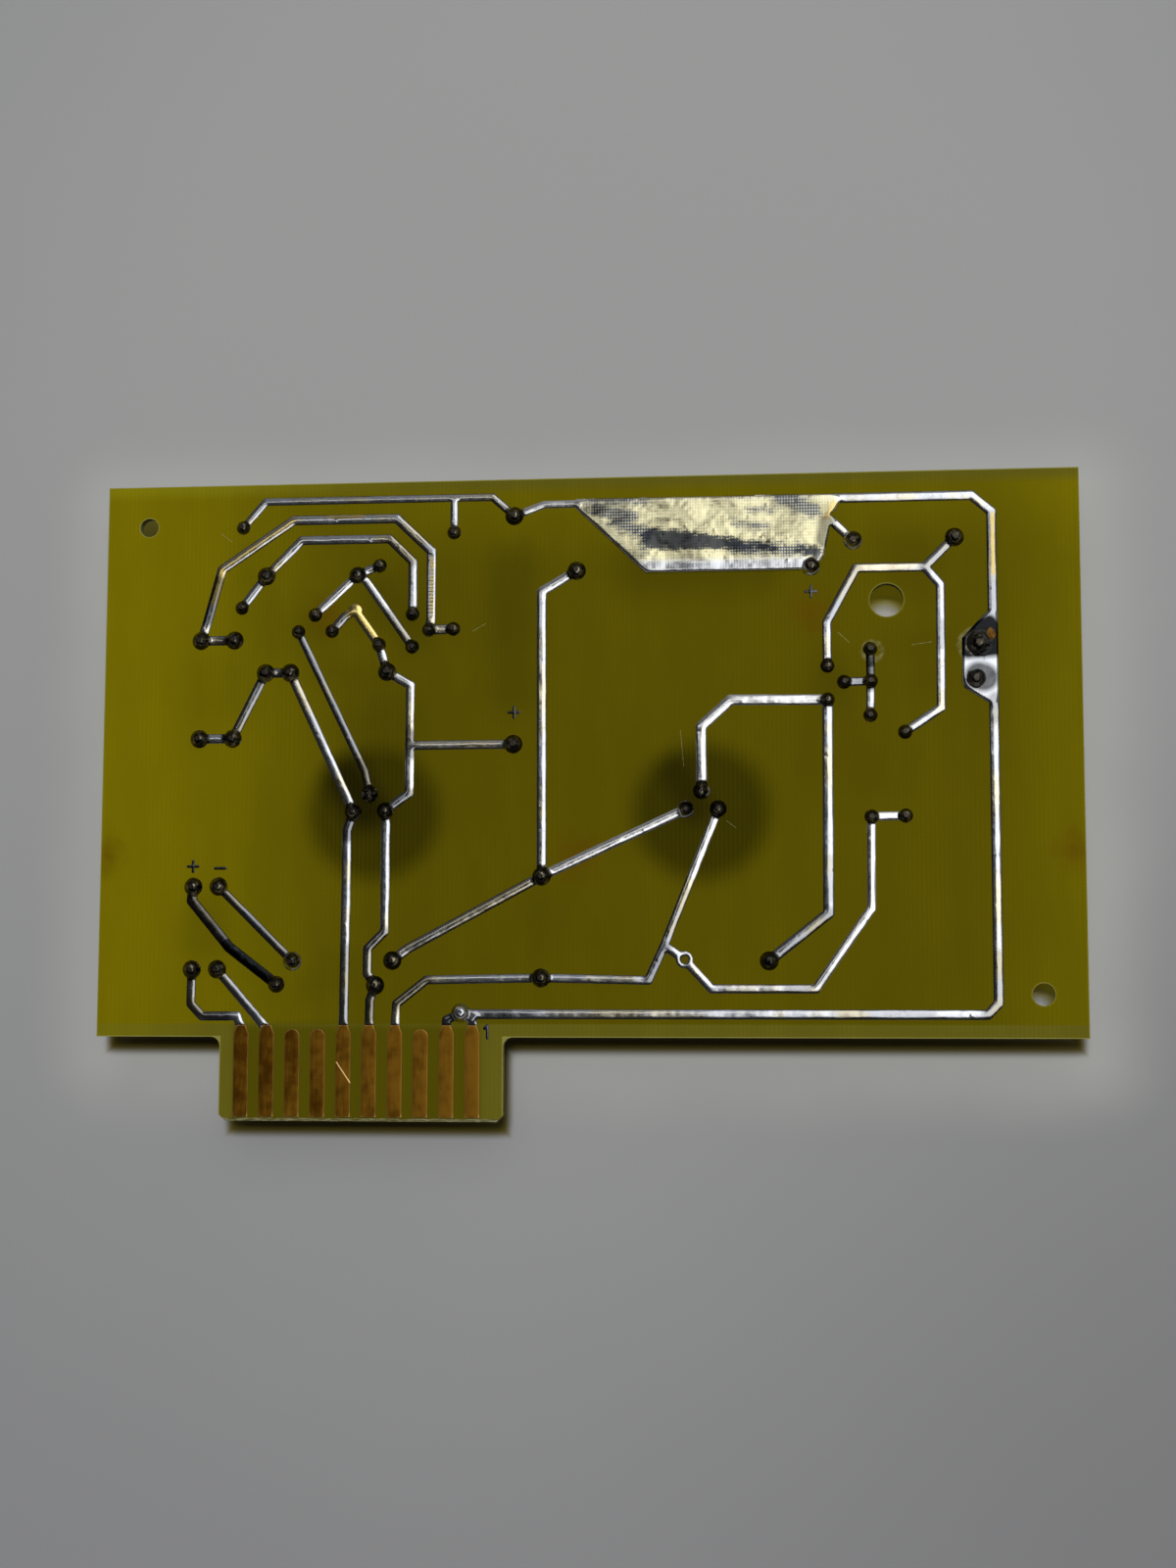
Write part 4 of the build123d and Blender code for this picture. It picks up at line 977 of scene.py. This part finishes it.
def softened(name, node, material, width):
    """A copy of a CAD solid with rounded edges."""
    shape = welded(node)
    bmesh.ops.dissolve_limit(shape, angle_limit=math.radians(3), verts=shape.verts, edges=shape.edges)
    mesh = as_mesh(shape, name)
    piece = make_object(name, mesh, [material], [node])
    bevel = piece.modifiers.new("edges", "BEVEL")
    bevel.width = width * MM
    bevel.segments = 3
    bevel.limit_method = "ANGLE"
    bevel.angle_limit = SHARP_EDGE
    bevel.harden_normals = True
    for face in mesh.polygons:
        face.use_smooth = True


for index, resistor_name in enumerate(RESISTORS):
    resistor(resistor_name, BAND_CODES[index % len(BAND_CODES)])
for number in (1, 2):
    capacitor(number)
for number in (1, 2):
    softened(f"finned_cooler_{number}", f"heat_sink_{number}", ANODISED, 0.15)
for number in (1, 2, 3):
    softened(f"plastic_body_{number}", f"small_transistor_{number}_body", EPOXY, 0.18)
softened("potted_rectifier", "bridge_rectifier", EPOXY, 0.3)

# The CAD nodes that stay get a finish only.
for name, node in NODES.items():
    material = (LAMINATE if name == "laminate_board" else WIRE if name.endswith("leads") else
                SEAL_RUBBER if name.endswith("seal") else NICKEL if name.startswith("power_transistor") else None)
    if material:
        node.data.materials.clear()
        node.data.materials.append(material)

# ------------ floor, light and camera
FLOOR_HALO_LIGHT = (0.385, 0.387, 0.370)       # beside the board (a painted halo of light), further out, far away and in the darker corner (both painted shade)
FLOOR_MIDDLE = (0.318, 0.320, 0.317)
FLOOR_FAR_SHADE = (0.255, 0.256, 0.262)
FLOOR_CORNER_SHADE = (0.10, 0.10, 0.10)
FLOOR_DEPTH = 0.05 * MM                  # just below the object's lowest faces
FLOOR_HALF = 4.0                         # metres
BACKDROP = 0.42                          # the pale surroundings, far from the object
ROOM = (0.03, 0.34)                      # the room's brightness on its dark side and on its light side
KEY_PLACE = at(127.0, 238.0, 1150.0)
SHADE_EDGE = (0.130, 0.105, 0.020)       # painted olive shadow of the board on the floor, for light that came through the sheet
# Painted tint deeper inside the board's shadow.
SHADE_INNER = (0.42, 0.41, 0.35)
# Painted shade on the floor beside the light through each plain hole: place, tint, and how strongly a painted
# glow for light through the sheet shows there; and the same painted glow through the empty ring pad.
HOLE_SHADES = [((3.6, 81.6), (0.46, 0.40, 0.07), 0.0), ((121.7, 67.9), (0.95, 0.85, 0.05), 1.0),
               ((144.6, 6.7), (0.80, 0.68, 0.03), 0.0)]
RING_PAD, RING_LIGHT = (89.95, 12.0), 1.9
# The colour of the painted glow for light through the sheet.
PAINTED_SHEET_GLOW = (0.040, 0.031, 0.0, 1.0)


def floor():
    """A pale table that fades into the backdrop, with a painted pool of light round the board; the board's shadow
    is painted olive for light through the sheet, with a painted glow beside the holes.
    """
    look = Look("floor", Roughness=0.85, Specular_IOR_Level=0.1, Emission_Color=PAINTED_SHEET_GLOW)
    mottle = look.noise(40, 3.0)
    away = look.scaled(mottle, 12 * MM, look.distance_to(at(75.0, 95.0)))

    # The place on the board that the key light meets on its way to each place on the floor.
    drop = (TOP + FLOOR_DEPTH) / KEY_PLACE.z
    board_place = look.vector("ADD", look.vector("SCALE", look.place, Scale=1 - drop), KEY_PLACE * drop)
    x, y, _ = look.parts(board_place)
    left, right, root, top, inside = look.insets(x, y)
    outward = look.add("CombineXYZ", {0: look.least(left, right, 0.0), 1: look.least(root, top, 0.0)}).outputs[0]
    outside = look.scaled(mottle, -6 * MM, look.vector("LENGTH", outward, output="Value"))
    # Painted tints of the board's shadow, and a painted glow by the holes.
    tints = [(look.ramp(inside, 1.3 * MM, 3.6 * MM), SHADE_INNER)]
    through = 0.0
    for (hole, radius), (spot, tint, lit) in zip(BOARD_HOLES, HOLE_SHADES):
        offset = look.vector("SUBTRACT", look.vector("MULTIPLY", board_place, FLAT), at(*hole) * FLAT)
        from_hole = look.minus(look.vector("LENGTH", offset, output="Value"), (radius + 0.9) * MM)
        near = look.near(spot, radius + 0.3, radius + 1.2)
        tints.append((near, tint))
        through = look.most(through, look.times(near, lit))
        inside = look.least(inside, look.times(from_hole, 0.6))
    through = look.most(through, look.near(RING_PAD, 0.8, 1.2, RING_LIGHT))
    shadow = look.layers(SHADE_EDGE, *tints)
    # A painted pool of light on the floor: a halo beside the board, darker far off and in one corner; over it the
    # board's painted shadow.
    look.set("Base Color", look.layers(
        FLOOR_MIDDLE, (look.ramp(away, 70 * MM, 210 * MM), FLOOR_FAR_SHADE),
        (look.near((200.0, -70.0), 30, 150, 0.26), FLOOR_CORNER_SHADE),
        (look.fade(outside, -4 * MM, 11 * MM), FLOOR_HALO_LIGHT), (look.ramp(inside, -0.9 * MM, 0.6 * MM), shadow)))
    # The painted glow stands for light through the sheet.
    look.set("Emission Strength", through)

    glow = look.add("Emission", {"Color": (1.0, 1.0, 1.0, 1.0), "Strength": BACKDROP})
    distant = look.ramp(away, 230 * MM, 620 * MM)
    blend = look.add("MixShader", {0: distant, 1: look.shader.outputs[0], 2: glow.outputs[0]})
    look.tree.links.new(blend.outputs[0], look.tree.nodes["Material Output"].inputs["Surface"])
    corners = [FLOOR_HALF * Vector(corner) for corner in ((-1, -1, 0), (1, -1, 0), (1, 1, 0), (-1, 1, 0))]
    mesh = mesh_from_faces("floor", corners, [(0, 1, 2, 3)])
    mesh.materials.append(look.material)
    plane = bpy.data.objects.new("floor", mesh)
    plane.location.z = -FLOOR_DEPTH
    bpy.context.scene.collection.objects.link(plane)


def lamp(name, place, target, width, height, radiance, seen_in_gloss):
    """A soft panel that faces the target and has a radiance; it lights matt surfaces or shows in gloss."""
    light = bpy.data.lights.new(name, "AREA")
    light.shape = "RECTANGLE"
    light.size, light.size_y = width, height
    light.energy = radiance * math.pi * width * height
    holder = bpy.data.objects.new(name, light)
    holder.location = place
    holder.rotation_euler = (target - place).to_track_quat("-Z", "Y").to_euler()
    holder.visible_glossy = seen_in_gloss
    holder.visible_diffuse = not seen_in_gloss
    bpy.context.scene.collection.objects.link(holder)


def world():
    """A dim room, lighter on the far right, above a low pale backdrop all round."""
    sky = bpy.data.worlds.new("studio")
    bpy.context.scene.world = sky
    sky.use_nodes = True
    nodes = Nodes(sky.node_tree, "Generated")
    toward = nodes.vector("DOT_PRODUCT", nodes.place, (0.6, 0.8, 0.0), output="Value")
    level = nodes.ramp(toward, -0.2, 0.9, *ROOM)
    low = nodes.fade(nodes.parts(nodes.place)["Z"], 0.08, 0.24)
    strength = nodes.add("Mix", {"Factor": low, 2: level, 3: BACKDROP}, data_type="FLOAT").outputs[0]
    background = sky.node_tree.nodes["Background"]
    background.inputs["Color"].default_value = (1.0, 1.0, 1.0, 1.0)
    sky.node_tree.links.new(strength, background.inputs["Strength"])


def camera():
    """The photograph's view: its place, its view direction and its upward direction."""
    holder = bpy.data.objects.new("camera", bpy.data.cameras.new("camera"))
    bpy.context.scene.collection.objects.link(holder)
    holder.data.lens = 52.9
    holder.data.sensor_width = 36.0
    holder.data.clip_start = 0.01
    place = at(111.5, 1.8, 346.9)
    forward = Vector((-0.1015, 0.1043, -0.9894)).normalized()
    right = forward.cross(Vector((0.0086, 0.9945, 0.1040))).normalized()
    rotation = Matrix((right, right.cross(forward), -forward)).transposed()
    holder.matrix_world = Matrix.Translation(place) @ rotation.to_4x4()
    bpy.context.scene.camera = holder


floor()
world()
camera()
lamp("key_panel", KEY_PLACE, at(100.0, 40.0), 0.25, 0.25, 50.5, seen_in_gloss=False)
lamp("fill_panel", at(75.0, 500.0, 900.0), at(75.0, 40.0), 0.8, 0.8, 0.75, seen_in_gloss=False)
lamp("gloss_panel", at(568.0, 360.0, 1150.0), at(568.0, 360.0, 0.0), 1.02, 1.58, 1.5, seen_in_gloss=True)
lamp("gloss_strip", at(-250.0, 322.0, 1150.0), at(-250.0, 322.0, 0.0), 0.62, 0.136, 1.1, seen_in_gloss=True)
bpy.context.scene.view_settings.view_transform = "Standard"
